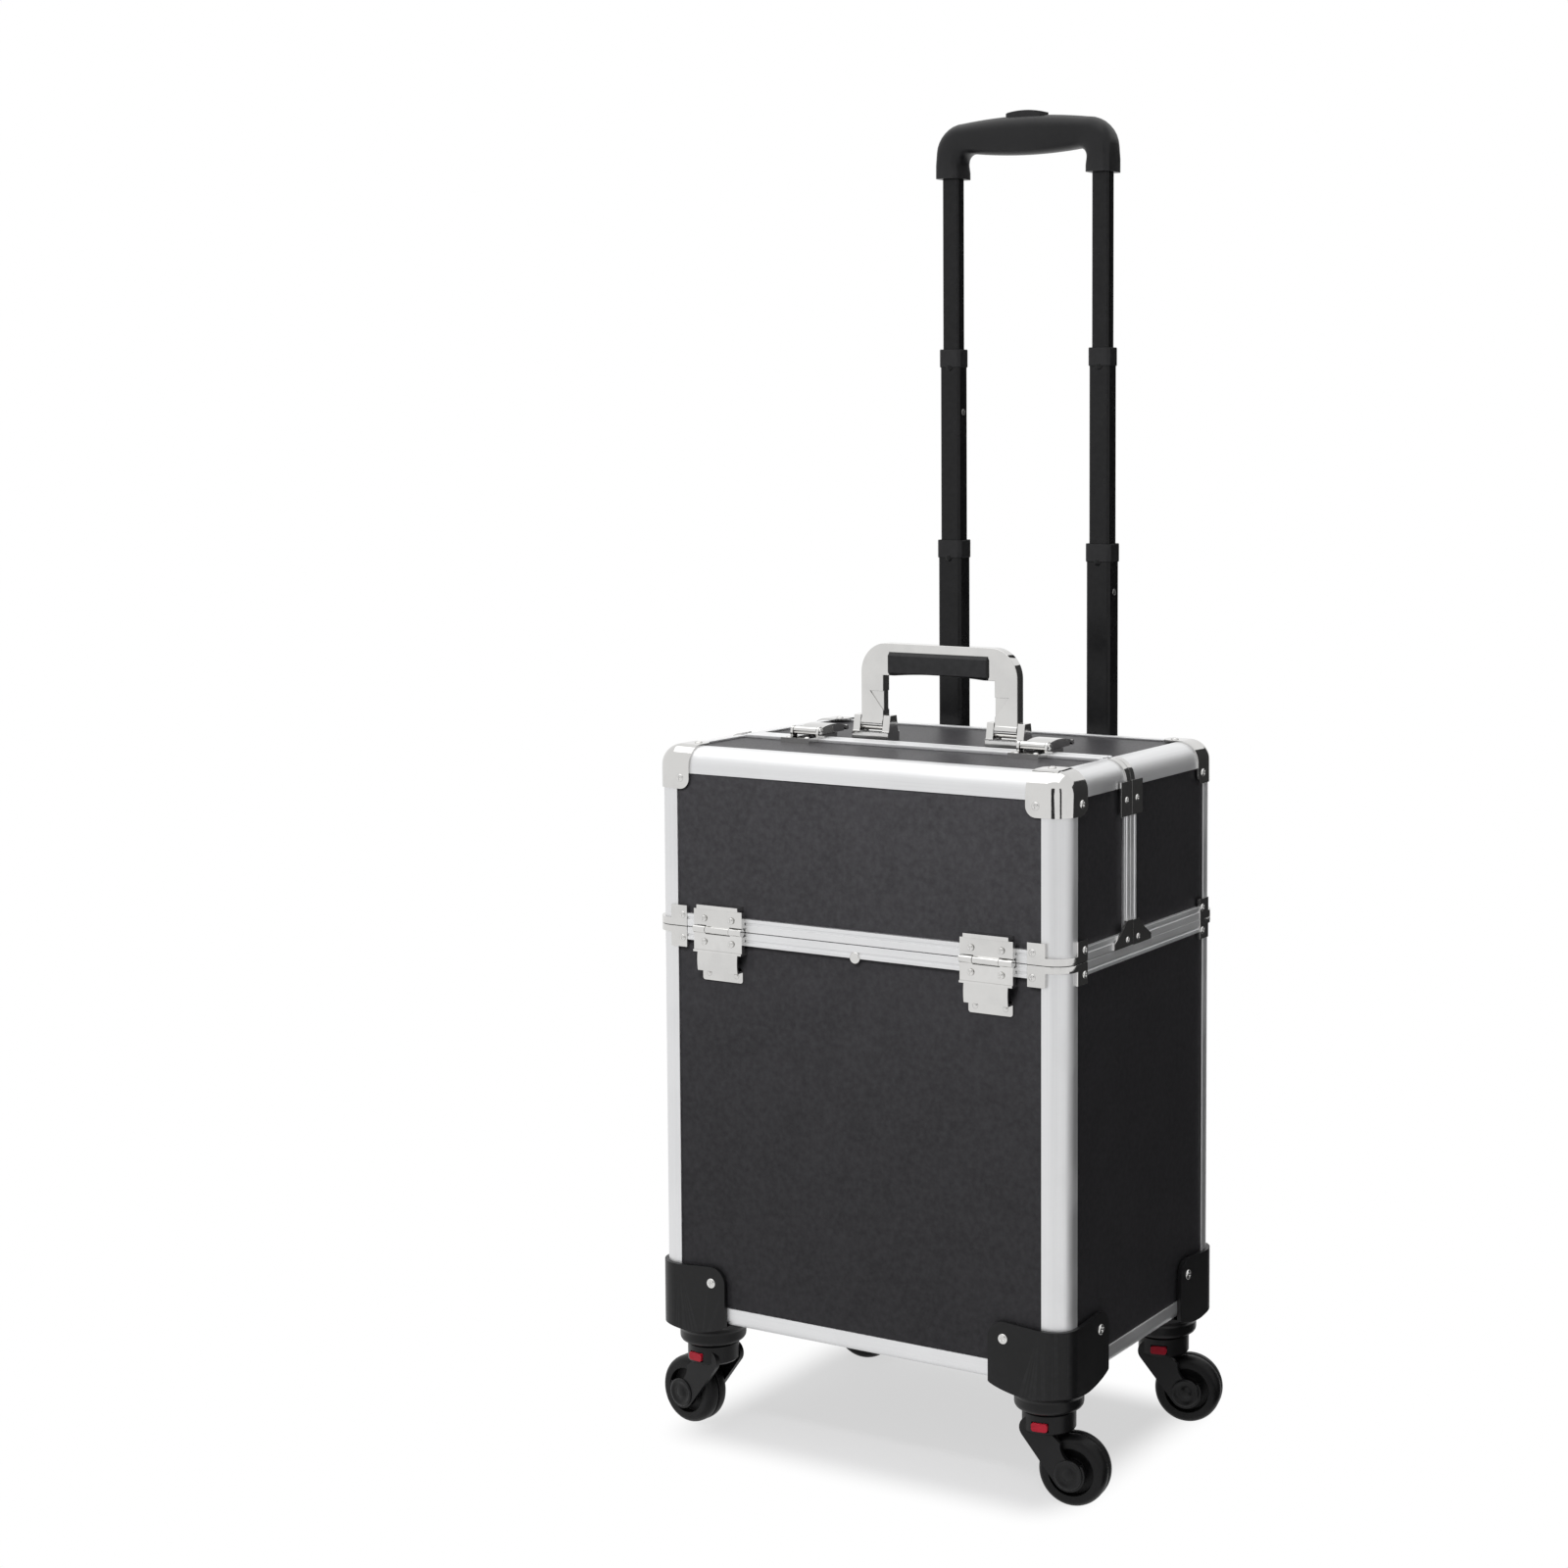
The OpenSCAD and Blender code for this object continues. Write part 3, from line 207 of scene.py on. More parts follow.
def floor_glow(tree):
    """How far the floor glows like the backdrop: partly under the case, wholly further out."""
    half_x = max(-cad_low.x, cad_high.x) - SHADOW_INSET
    half_y = max(-cad_low.y, cad_high.y) - SHADOW_INSET
    place = tree.nodes.new("ShaderNodeTexCoord").outputs["Object"]
    corner = vector_step(tree, "ABSOLUTE", place)["Vector"]
    outside = vector_step(tree, "SUBTRACT", corner, (half_x, half_y, 0))["Vector"]
    outside = vector_step(tree, "MAXIMUM", outside)["Vector"]
    distance = vector_step(tree, "LENGTH", outside)["Value"]
    fade = spread(tree, distance, 0, SHADOW_FADE, FLOOR_GLOW, 1)
    return math_node(tree, "MULTIPLY", fade, seen_ray(tree))


def make_floor():
    material, tree, paint = new_finish(
        "pale_floor", Base_Color=FLOOR_PAINT, Roughness=0.9, Specular_IOR_Level=0.1
    )
    glow = tree.nodes.new("ShaderNodeEmission")
    glow.inputs["Color"].default_value = (1, 1, 1, 1)
    mix = tree.nodes.new("ShaderNodeMixShader")
    feed(tree, floor_glow(tree), mix.inputs["Fac"])
    feed(tree, paint.outputs["BSDF"], mix.inputs[1])
    feed(tree, glow.outputs["Emission"], mix.inputs[2])
    feed(tree, mix.outputs["Shader"], tree.nodes["Material Output"].inputs["Surface"])
    floor = add_board("floor", FLOOR_SIZE, FLOOR_SIZE, material)
    floor.location.z = -FLOOR_DROP
    return floor


print("floor", make_floor().dimensions[:])

# %% [markdown]
# ### Lamps
# Three area lamps act as softboxes: a wide key from the front left, a small one close to the lid, and
# one overhead. In Cycles a reflection sees a lamp and the white world behind it added together, so
# pale metal would burn out. The key and the lid lamp are therefore left out of reflections, where the
# white world already stands for them.

# %% Lamps
CENTRE = Vector((0, 0, 0.4))


def softbox(name, place, size, power, mirrored=True):
    data = bpy.data.lights.new(name, "AREA")
    data.shape = "RECTANGLE"
    data.size, data.size_y = size
    data.energy = power
    lamp = add_to_scene(name, data)
    lamp.location = place
    aim(lamp, CENTRE - Vector(place))
    lamp.visible_camera = False
    lamp.visible_glossy = mirrored
    return lamp


LAMPS = [
    softbox("key_softbox", place=(-1.2, -2.2, 1.6), size=(4.4, 2.2), power=22, mirrored=False),
    softbox("lid_softbox", place=(0.12, -0.75, 0.85), size=(0.5, 0.3), power=8.5, mirrored=False),
    softbox("top_softbox", place=(-0.4, -0.1, 3.0), size=(3.2, 3.2), power=32),
]
print("lamps", [lamp.name for lamp in LAMPS])

# %% [markdown]
# ### Dark flags and cutters
# In an all-white room bright metal has nothing to show and looks like grey paint. Photographers stand
# dark boards, called flags, beside the set, and plated steel then shows their edges. These four are
# seen only in reflections: one stands behind the case on the right, one lies on the floor there, and
# two narrow ones stand beside the camera. A cutter is the opposite: it shows nowhere, but it throws
# a shadow. Two of them hold the lamps off the lower front, so the lid is the brightest panel.

# %% Flags
FLAG_GREY = 0.12


def make_flag(name, place, size, target, cuts=False):
    grey = (FLAG_GREY, FLAG_GREY, FLAG_GREY, 1)
    material = new_finish(name, Base_Color=grey, Roughness=1.0, Specular_IOR_Level=0.0)[0]
    flag = add_board(name, size[0], size[1], material)
    flag.location = place
    aim(flag, Vector(target) - Vector(place))
    flag.visible_camera = flag.visible_diffuse = False
    flag.visible_glossy = not cuts
    flag.visible_shadow = cuts
    return flag


FLAGS = [
    make_flag("right_flag", (1.5, 2.1, 0.7), (2.6, 1.6), CENTRE),
    make_flag("floor_flag", (1.0, 1.1, 0.002), (1.6, 2.4), (1.0, 1.1, 1.0)),
    make_flag("wide_camera_flag", (0.55, -2.75, 0.7), (0.8, 2.2), CENTRE),
    make_flag("slim_camera_flag", (2.2, -1.9, 0.7), (0.45, 2.2), CENTRE),
    make_flag("key_cutter", (-0.3, -0.64, 0.37), (2.2, 0.5), (0, 0, 0.37), cuts=True),
    make_flag("lid_cutter", (0.12, -0.6, 0.57), (1.2, 0.3), (0.12, 0, 0.57), cuts=True),
]
print("flags", [flag.name for flag in FLAGS])

# %% [markdown]
# ## Shared surface effects
# Grain, bloom and rubbed edges turn up on several finishes. Each is one node group, built once and
# placed in every material with its own numbers. Textures read object coordinates, which are metres
# on this frame, so a pitch of 1.2 mm is written as 0.0012, and its scale is one over that.

# %% Group helpers
def new_group(name, inputs, outputs):
    """An empty shader group, with its own sockets to read from and to write to."""
    group = bpy.data.node_groups.new(name, "ShaderNodeTree")
    for label, value in inputs.items():
        socket = group.interface.new_socket(name=label, in_out="INPUT", socket_type="NodeSocketFloat")
        socket.default_value = value
    for label in outputs:
        group.interface.new_socket(name=label, in_out="OUTPUT", socket_type="NodeSocketFloat")
    given, out = group.nodes.new("NodeGroupInput"), group.nodes.new("NodeGroupOutput")
    return group, given.outputs, out.inputs


def metres(tree):
    return tree.nodes.new("ShaderNodeTexCoord").outputs["Object"]


def per_metre(tree, size, count=1.0):
    """The texture scale that fits count features into that size."""
    return math_node(tree, "DIVIDE", count, size)


def add_noise(tree, place, scale, detail=2):
    noise = tree.nodes.new("ShaderNodeTexNoise")
    for label, value in (("Vector", place), ("Scale", scale), ("Detail", detail)):
        feed(tree, value, noise.inputs[label])
    return noise.outputs["Fac"]


print("group helpers ready")

# %% Pebble grain
PEBBLE_ROUND, FINE_COUNT, FINE_SHARE = 0.6, 2.2, 0.35


def make_pebble_grain():
    """Embossed grain of covered board and moulded plastic: rounded pebbles and a slow mottle."""
    tree, given, out = new_group(
        "pebble_grain", {"Pitch": 0.0012, "Mottle Size": 0.03}, ["Height", "Mottle"]
    )
    place = metres(tree)
    cells = tree.nodes.new("ShaderNodeTexVoronoi")
    cells.feature = "SMOOTH_F1"
    cells.inputs["Smoothness"].default_value = PEBBLE_ROUND
    feed(tree, place, cells.inputs["Vector"])
    feed(tree, per_metre(tree, given["Pitch"]), cells.inputs["Scale"])
    pebble = math_node(tree, "SUBTRACT", 1.0, cells.outputs["Distance"])
    fine = add_noise(tree, place, per_metre(tree, given["Pitch"], FINE_COUNT))
    feed(tree, math_node(tree, "MULTIPLY_ADD", fine, FINE_SHARE, pebble), out["Height"])
    slow = add_noise(tree, place, per_metre(tree, given["Mottle Size"]), detail=4)
    feed(tree, spread(tree, slow, 0.35, 0.65, 0, 1), out["Mottle"])
    return tree


PEBBLE_GRAIN = make_pebble_grain()
print("group", PEBBLE_GRAIN.name)

# %% Metal bloom
def make_metal_bloom():
    """Uneven shine of metal and paint: a fine tooth, and slow smudges where hands have been."""
    tree, given, out = new_group(
        "metal_bloom", {"Tooth": 0.0005, "Smudge Size": 0.02}, ["Tooth", "Smudge"]
    )
    place = metres(tree)
    tooth = add_noise(tree, place, per_metre(tree, given["Tooth"]))
    feed(tree, spread(tree, tooth, 0.3, 0.7, 0, 1), out["Tooth"])
    smudge = add_noise(tree, place, per_metre(tree, given["Smudge Size"]), detail=5)
    feed(tree, spread(tree, smudge, 0.42, 0.62, 0, 1), out["Smudge"])
    return tree


METAL_BLOOM = make_metal_bloom()
print("group", METAL_BLOOM.name)

# %% Drawn lines
def make_drawn_lines():
    """Fine lines that the die leaves along an extruded profile; Upright 1 runs them up, 0 level."""
    tree, given, out = new_group(
        "drawn_lines", {"Pitch": 0.0007, "Run": 0.12, "Upright": 1.0}, ["Line"]
    )
    fine = per_metre(tree, given["Pitch"])
    long = per_metre(tree, given["Run"])
    step = math_node(tree, "SUBTRACT", fine, long)
    across = math_node(tree, "MULTIPLY_ADD", given["Upright"], step, long)
    along = math_node(tree, "SUBTRACT", math_node(tree, "ADD", fine, long), across)
    stretch = tree.nodes.new("ShaderNodeCombineXYZ")
    for axis, amount in (("X", across), ("Y", across), ("Z", along)):
        feed(tree, amount, stretch.inputs[axis])
    stretched = vector_step(tree, "MULTIPLY", metres(tree), stretch.outputs["Vector"])["Vector"]
    feed(tree, spread(tree, add_noise(tree, stretched, 1.0), 0.3, 0.7, 0, 1), out["Line"])
    return tree


DRAWN_LINES = make_drawn_lines()
print("group", DRAWN_LINES.name)

# %% Rubbed edges
FLAT_FACE = 0.5


def make_rubbed_edges():
    """Where the surface is convex it gets handled: the mask is broken up by a noise."""
    tree, given, out = new_group("rubbed_edges", {"Reach": 0.06, "Break Size": 0.004}, ["Mask"])
    noise = add_noise(tree, metres(tree), per_metre(tree, given["Break Size"]), detail=3)
    pointed = tree.nodes.new("ShaderNodeNewGeometry").outputs["Pointiness"]
    convex = math_node(tree, "SUBTRACT", pointed, FLAT_FACE)
    held = tree.nodes.new("ShaderNodeClamp")
    feed(tree, math_node(tree, "DIVIDE", convex, given["Reach"]), held.inputs["Value"])
    feed(tree, math_node(tree, "MULTIPLY", held.outputs["Result"], noise), out["Mask"])
    return tree


RUBBED_EDGES = make_rubbed_edges()
print("group", RUBBED_EDGES.name)

# %% [markdown]
# ## Finishes
# The case has few materials: board covered in black grained vinyl, satin aluminium profiles, bright
# plated steel hardware, black tube, black moulded plastic, the wheels' tread and the red release
# bars. Each one is a Principled shader whose colour, roughness and bump come from the groups above.

# %% Finish helpers
def place_group(tree, group, **values):
    made = tree.nodes.new("ShaderNodeGroup")
    made.node_tree = group
    for label, value in values.items():
        made.inputs[label.replace("_", " ")].default_value = value
    return made.outputs


def blend_colours(tree, mask, first, second):
    """From the first colour to the second; each is three numbers or another node's output."""
    made = tree.nodes.new("ShaderNodeMix")
    made.data_type = "RGBA"
    feed(tree, mask, made.inputs["Factor"])
    for label, colour in (("A", first), ("B", second)):
        socket = next(s for s in made.inputs if s.name == label and s.type == "RGBA")
        feed(tree, (*colour, 1) if isinstance(colour, tuple) else colour, socket)
    return next(s for s in made.outputs if s.type == "RGBA")


def worn(tree, body, rubbed, reach):
    """The body colour with its rubbed edges."""
    edge = place_group(tree, RUBBED_EDGES, Reach=reach)
    return blend_colours(tree, edge["Mask"], body, rubbed)


def add_bump(tree, height, strength, distance):
    bump = tree.nodes.new("ShaderNodeBump")
    for label, value in (("Height", height), ("Strength", strength), ("Distance", distance)):
        feed(tree, value, bump.inputs[label])
    feed(tree, bump.outputs["Normal"], tree.nodes["Principled BSDF"].inputs["Normal"])


print("finish helpers ready")

# %% Grained black finishes
MOTTLE_SIZE = 0.035


def grained_black(name, dark, light, pitch, depth, rough, specular):
    """Vinyl or moulded plastic: pebbled, mottled, and paler where its edges are rubbed."""
    material, tree, shader = new_finish(name, Specular_IOR_Level=specular)
    grain = place_group(tree, PEBBLE_GRAIN, Pitch=pitch, Mottle_Size=MOTTLE_SIZE)
    body = blend_colours(tree, grain["Mottle"], dark, light)
    rubbed = tuple(min(1, 1.9 * c + 0.01) for c in light)
    feed(tree, worn(tree, body, rubbed, reach=0.08), shader.inputs["Base Color"])
    feed(tree, spread(tree, grain["Height"], 0.5, 1.2, *rough), shader.inputs["Roughness"])
    add_bump(tree, grain["Height"], strength=0.35, distance=depth)
    return material


FINISH = {
    "panel_black": grained_black(
        "covered_board",
        dark=(0.0225, 0.0218, 0.0239), light=(0.0278, 0.027, 0.0295),
        pitch=0.0013, depth=0.00012, rough=(0.43, 0.35), specular=0.11,
    ),
    "liner_black": grained_black(
        "tray_lining",
        dark=(0.012, 0.012, 0.013), light=(0.02, 0.02, 0.021),
        pitch=0.0009, depth=0.00018, rough=(0.75, 0.6), specular=0.2,
    ),
    "plastic_black": grained_black(
        "moulded_black",
        dark=(0.0045, 0.0045, 0.005), light=(0.0062, 0.0062, 0.0068),
        pitch=0.0006, depth=0.00007, rough=(0.4, 0.3), specular=0.26,
    ),
    "wheel_black": grained_black(
        "wheel_tread",
        dark=(0.0045, 0.0045, 0.0049), light=(0.0066, 0.0066, 0.007),
        pitch=0.0008, depth=0.0001, rough=(0.46, 0.36), specular=0.2,
    ),
}
print("finishes", sorted(FINISH))

# %% Metal finishes
def drawn_aluminium(name, upright):
    """Extruded profile: the die's lines vary its colour and relief, a slow bloom its shine."""
    material, tree, shader = new_finish(name, Metallic=1.0)
    line = place_group(tree, DRAWN_LINES, Upright=upright)
    bloom = place_group(tree, METAL_BLOOM, Smudge_Size=0.06)
    body = blend_colours(tree, line["Line"], (0.76, 0.762, 0.77), (0.79, 0.793, 0.8))
    feed(tree, worn(tree, body, (0.83, 0.832, 0.835), reach=0.1), shader.inputs["Base Color"])
    feed(tree, spread(tree, bloom["Smudge"], 0, 1, 0.46, 0.52), shader.inputs["Roughness"])
    add_bump(tree, line["Line"], strength=0.1, distance=0.00001)
    return material


def bright_plate(name):
    """Plated steel: nearly a mirror, with a faint bloom and brighter rubbed edges."""
    material, tree, shader = new_finish(name, Metallic=1.0)
    bloom = place_group(tree, METAL_BLOOM, Tooth=0.0012, Smudge_Size=0.03)
    body = blend_colours(tree, bloom["Smudge"], (0.64, 0.635, 0.622), (0.6, 0.595, 0.585))
    feed(tree, worn(tree, body, (0.7, 0.695, 0.685), reach=0.1), shader.inputs["Base Color"])
    feed(tree, spread(tree, bloom["Smudge"], 0, 1, 0.05, 0.09), shader.inputs["Roughness"])
    add_bump(tree, bloom["Tooth"], strength=0.3, distance=0.00001)
    return material


FINISH["satin_aluminium"] = drawn_aluminium("satin_level", upright=0.0)
FINISH["chrome"] = bright_plate("bright_plate")
SATIN_UPRIGHT = drawn_aluminium("satin_upright", upright=1.0)
UPRIGHT_NODES = ("corner_posts", "lid_posts", "hood_posts")
print("finishes", sorted(FINISH))

# %% Painted tube and red release
COAT_ROUGH = 0.15


def painted(name, dark, light, rough, specular, coat):
    """Paint or glossy plastic: nearly even, with smudges in its shine and rubbed edges."""
    material, tree, shader = new_finish(
        name, Specular_IOR_Level=specular, Coat_Weight=coat, Coat_Roughness=COAT_ROUGH
    )
    bloom = place_group(tree, METAL_BLOOM, Tooth=0.0008, Smudge_Size=0.03)
    body = blend_colours(tree, bloom["Smudge"], dark, light)
    rubbed = tuple(min(1, 1.5 * c + 0.02) for c in light)
    feed(tree, worn(tree, body, rubbed, reach=0.12), shader.inputs["Base Color"])
    feed(tree, spread(tree, bloom["Smudge"], 0, 1, *rough), shader.inputs["Roughness"])
    add_bump(tree, bloom["Tooth"], strength=0.15, distance=0.00003)
    return material


FINISH["tube_black"] = painted(
    "black_tube",
    dark=(0.0036, 0.0036, 0.004), light=(0.0046, 0.0046, 0.005),
    rough=(0.22, 0.28), specular=0.18, coat=0.0,
)
FINISH["release_red"] = painted(
    "release_red",
    dark=(0.52, 0.01, 0.03), light=(0.62, 0.016, 0.042),
    rough=(0.3, 0.42), specular=0.2, coat=0.1,
)
print("finishes", sorted(FINISH))

# %% [markdown]
# ## Dressing the frame
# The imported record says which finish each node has. A CAD solid has knife-sharp edges, and real
# pieces don't: a Bevel modifier rounds them so that they catch the light. The mesh comes from a
# surface file whose faces don't share corners, so a Weld joins them first, and Weighted Normals keep
# flat faces flat next to the new rounds.

# %% Smooth shading as a modifier
def make_smooth_faces():
    """A small geometry group that shades every face smooth without touching the stored mesh."""
    group = bpy.data.node_groups.new("smooth_faces", "GeometryNodeTree")
    for way in ("INPUT", "OUTPUT"):
        group.interface.new_socket(name="Geometry", in_out=way, socket_type="NodeSocketGeometry")
    given, out = group.nodes.new("NodeGroupInput"), group.nodes.new("NodeGroupOutput")
    smooth = group.nodes.new("GeometryNodeSetShadeSmooth")
    feed(group, given.outputs["Geometry"], smooth.inputs["Geometry"])
    feed(group, smooth.outputs["Geometry"], out.inputs["Geometry"])
    return group


SMOOTH_FACES = make_smooth_faces()
print("group", SMOOTH_FACES.name)

# %% Assign finishes and round the edges
WELD_GAP, SHARP_ANGLE, ROUND_STEPS = 0.005, 32, 2
EDGE_ROUND = {
    "panel_black": 0.3,
    "liner_black": 0.4,
    "plastic_black": 0.7,
    "wheel_black": 0.5,
    "satin_aluminium": 0.35,
    "chrome": 0.35,
    "tube_black": 0.3,
    "release_red": 0.5,
}


def round_edges(piece, width):
    """Rounds the sharp edges of a piece to a width in millimetres, by modifiers alone."""
    weld = piece.modifiers.new("join_faces", "WELD")
    weld.merge_threshold = WELD_GAP * MM
    smooth = piece.modifiers.new("smooth_faces", "NODES")
    smooth.node_group = SMOOTH_FACES
    bevel = piece.modifiers.new("soft_edge", "BEVEL")
    bevel.width = width * MM
    bevel.segments = ROUND_STEPS
    bevel.limit_method = "ANGLE"
    bevel.angle_limit = math.radians(SHARP_ANGLE)
    normals = piece.modifiers.new("flat_faces", "WEIGHTED_NORMAL")
    normals.mode = "FACE_AREA"


SLOT_OF = {row["node"]: row["material_slot"] for row in frame["record"]["subparts"]}
for name, piece in frame["nodes"].items():
    finish = SATIN_UPRIGHT if name in UPRIGHT_NODES else FINISH[SLOT_OF[name]]
    piece.data.materials.clear()
    piece.data.materials.append(finish)
    round_edges(piece, EDGE_ROUND[SLOT_OF[name]])
print("dressed", len(SLOT_OF), "nodes")

# %% [markdown]
# ## Measures from the frame
# Small pieces sit on the CAD pieces, so their places are worked out from the nodes' boxes and not
# typed in: if the case gets wider, the screws follow. All numbers from here on are millimetres.

# %% Measures
RAIL_ABOVE_PANEL = 1.5
SIDES = (-1, 1)
FRONT, UP = (0, -1, 0), (0, 0, 1)


def box_mm(node):
    low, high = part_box(node)
    return low / MM, high / MM


HALF_W, HALF_D, SEAM = box_mm("corner_posts")[1]
TOP = box_mm("lid_top_panel")[1].z + RAIL_ABOVE_PANEL
EAR_TOP = box_mm("housing_front_left")[1].z
SPLIT = (box_mm("lid_rails")[1].y + box_mm("hood_rails")[0].y) / 2
print("half width", HALF_W, "half depth", HALF_D, "seam", SEAM, "top", TOP, "split", SPLIT)

# %% [markdown]
# ## Screws and rivets
# Each plate is held by small domed heads, and without them the hardware looks glued on. A head could
# be a sphere cut flat and a boolean cross; here it is one net of rings, from the rim to the crown,
# where the points that fall in the cross are pressed down. Heads on one body share one mesh.

# %% Turned pieces
STEPS = 24


def stand(place, normal):
    """Matrix that puts a drawing, in millimetres and standing on +Z, at a place with that normal."""
    turn = Vector(normal).to_track_quat("Z", "Y").to_matrix().to_4x4()
    return Matrix.Translation(Vector(place) * MM) @ turn @ Matrix.Scale(MM, 4)


def add_turned(mesh, place, normal, profile, press=None):
    """Adds a closed turned form: rings of the (radius, height) profile from the rim inwards.

    press, where it is given, says how far each point is lowered.
    """
    matrix = stand(place, normal)
    rings = []
    for radius, height in profile:
        ring = []
        for step in range(STEPS):
            x = radius * math.cos(math.tau * step / STEPS)
            y = radius * math.sin(math.tau * step / STEPS)
            drop = press(x, y) if press else 0.0
            ring.append(mesh.verts.new(matrix @ Vector((x, y, height - drop))))
        rings.append(ring)
    for outer, inner in zip(rings, rings[1:]):
        for i in range(STEPS):
            j = (i + 1) % STEPS
            mesh.faces.new((outer[i], outer[j], inner[j], inner[i]))
    mesh.faces.new(rings[-1])
    mesh.faces.new(reversed(rings[0]))


print("turned pieces have", STEPS, "steps")

# %% Screw and rivet heads
HEAD_SUNK, DOME_RINGS, DOME_ANGLE = 0.3, 8, 86
SCREW_RISE, RIVET_RISE = 0.42, 0.5
CROSS_WIDTH, CROSS_REACH, CROSS_DEPTH = 0.2, 0.66, 0.9


def dome(radius, rise):
    """Profile of a domed head that starts a little below the plate."""
    levels = [(radius, -HEAD_SUNK)]
    for step in range(DOME_RINGS):
        turn = math.radians(DOME_ANGLE * step / (DOME_RINGS - 1))
        levels.append((radius * math.cos(turn), rise * math.sin(turn)))
    return levels


def add_screw(mesh, place, normal, radius):
    rise = SCREW_RISE * radius

    def press(x, y):
        narrow, reach = sorted((abs(x), abs(y)))
        across = max(0.0, 1 - narrow / (CROSS_WIDTH * radius))
        along = max(0.0, 1 - (reach / (CROSS_REACH * radius)) ** 4)
        return CROSS_DEPTH * rise * across * along

    add_turned(mesh, place, normal, dome(radius, rise), press)


def add_rivet(mesh, place, normal, radius):
    add_turned(mesh, place, normal, dome(radius, RIVET_RISE * radius))


def finish_piece(name, mesh, body, slot):
    """Turns a bmesh into a piece that rides a body and wears that slot's finish."""
    data = bpy.data.meshes.new(name)
    mesh.to_mesh(data)
    mesh.free()
    data.polygons.foreach_set("use_smooth", [True] * len(data.polygons))
    data.materials.append(FINISH[slot])
    piece = add_to_scene(name, data)
    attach(piece, body)
    return piece


print("a head has", DOME_RINGS + 1, "rings")

# %% Screws of the corners and clips
EAR_INSET, EAR_DROP, EAR_PROUD, EAR_SCREW = 47, 12, 3, 3.8
CAP_INSET, CAP_PROUD, CAP_SCREW = 22, 1.4, 3.0
BRACKET_INSET, BRACKET_PROUD, BRACKET_OFF, BRACKET_SCREW = 24, 2.4, 8.5, 2.7
CLIP_OFF, CLIP_DROP, CLIP_RISE, CLIP_SCREW = 8, 27, 5, 2.3
TRIM_PROUD, BAND_PROUD, CLIP_WALL = 1.0, 2.0, 1.2


def face_screws(mesh, side, end, inset, proud, height, radius):
    """One screw on the front or back and one on the side, at the same corner and height."""
    on_end = (side * (HALF_W - inset), end * (HALF_D + proud), height)
    on_side = (side * (HALF_W + proud), end * (HALF_D - inset), height)
    add_screw(mesh, on_end, (0, end, 0), radius)
    add_screw(mesh, on_side, (side, 0, 0), radius)


def corner_screws(bin_mesh, top_mesh, side, end):
    bracket = (side, end, BRACKET_INSET, BRACKET_PROUD)
    face_screws(bin_mesh, side, end, EAR_INSET, EAR_PROUD, EAR_TOP - EAR_DROP, EAR_SCREW)
    face_screws(bin_mesh, *bracket, SEAM - BRACKET_OFF, BRACKET_SCREW)
    face_screws(top_mesh, *bracket, SEAM + BRACKET_OFF, BRACKET_SCREW)
    face_screws(top_mesh, side, end, CAP_INSET, CAP_PROUD, TOP - CAP_INSET, CAP_SCREW)
    crown = (side * (HALF_W - CAP_INSET), end * (HALF_D - CAP_INSET), TOP + CAP_PROUD)
    add_screw(top_mesh, crown, UP, CAP_SCREW)


def clip_screws(mesh, side, end):
    y = SPLIT + end * CLIP_OFF
    for proud, height in ((TRIM_PROUD, TOP - CLIP_DROP), (BAND_PROUD, SEAM + CLIP_RISE)):
        place = (side * (HALF_W + proud + CLIP_WALL), y, height)
        add_screw(mesh, place, (side, 0, 0), CLIP_SCREW)


CASE_SCREWS, LID_SCREWS = bmesh.new(), bmesh.new()
for side in SIDES:
    corner_screws(CASE_SCREWS, LID_SCREWS, side, -1)
    corner_screws(CASE_SCREWS, CASE_SCREWS, side, 1)
    clip_screws(LID_SCREWS, side, -1)
    clip_screws(CASE_SCREWS, side, 1)
print("corner and clip screws", len(CASE_SCREWS.verts) + len(LID_SCREWS.verts), "points")

# %% Screws of the hinges
HINGE_LOW, HINGE_HIGH = box_mm("hinge_lid_leaves")
FLAP_FOOT = box_mm("hinge_bin_leaves")[0].z
HINGE_WIDTH, LEAF_LIP = 42, 1.2
HINGE_X = HINGE_HIGH.x - HINGE_WIDTH / 2
LEAF_Y = HINGE_LOW.y + LEAF_LIP
LEAF_SCREW, LEAF_SCREW_X, LEAF_SCREW_OFF = 2.5, 12, 8.5
FOOT_RIVET, FOOT_RISE = 2.2, 5

for hinge in SIDES:
    for side in SIDES:
        x = hinge * HINGE_X + side * LEAF_SCREW_X
        add_screw(LID_SCREWS, (x, LEAF_Y, SEAM + LEAF_SCREW_OFF), FRONT, LEAF_SCREW)
        add_screw(CASE_SCREWS, (x, LEAF_Y, SEAM - LEAF_SCREW_OFF), FRONT, LEAF_SCREW)
        add_rivet(CASE_SCREWS, (x, -HALF_D, FLAP_FOOT + FOOT_RISE), FRONT, FOOT_RIVET)
print("hinges at", HINGE_X, "to either side")

# %% Screws and pins of the latches
LEVER_LOW, LEVER_HIGH = box_mm("latch_lever_right")
LATCH_HIGH = box_mm("latch_bases")[1]
LATCH_X = (LEVER_LOW.x + LEVER_HIGH.x) / 2
LATCH_EAR = LATCH_HIGH.x - LATCH_X
LATCH_PLATE = 1.5
PLATE_TOP = TOP + TRIM_PROUD + LATCH_PLATE
LATCH_SCREW, LATCH_SCREW_X = 1.9, 8
BASE_SCREW_Y, CATCH_SCREW_Y = SPLIT - 18, SPLIT + 20.5
PIN_HEAD, PIN_IN, PIN_DROP = 2.6, 3.0, 3.2
PIN_Y, PIN_Z = LEVER_LOW.y + PIN_IN, LATCH_HIGH.z - PIN_DROP

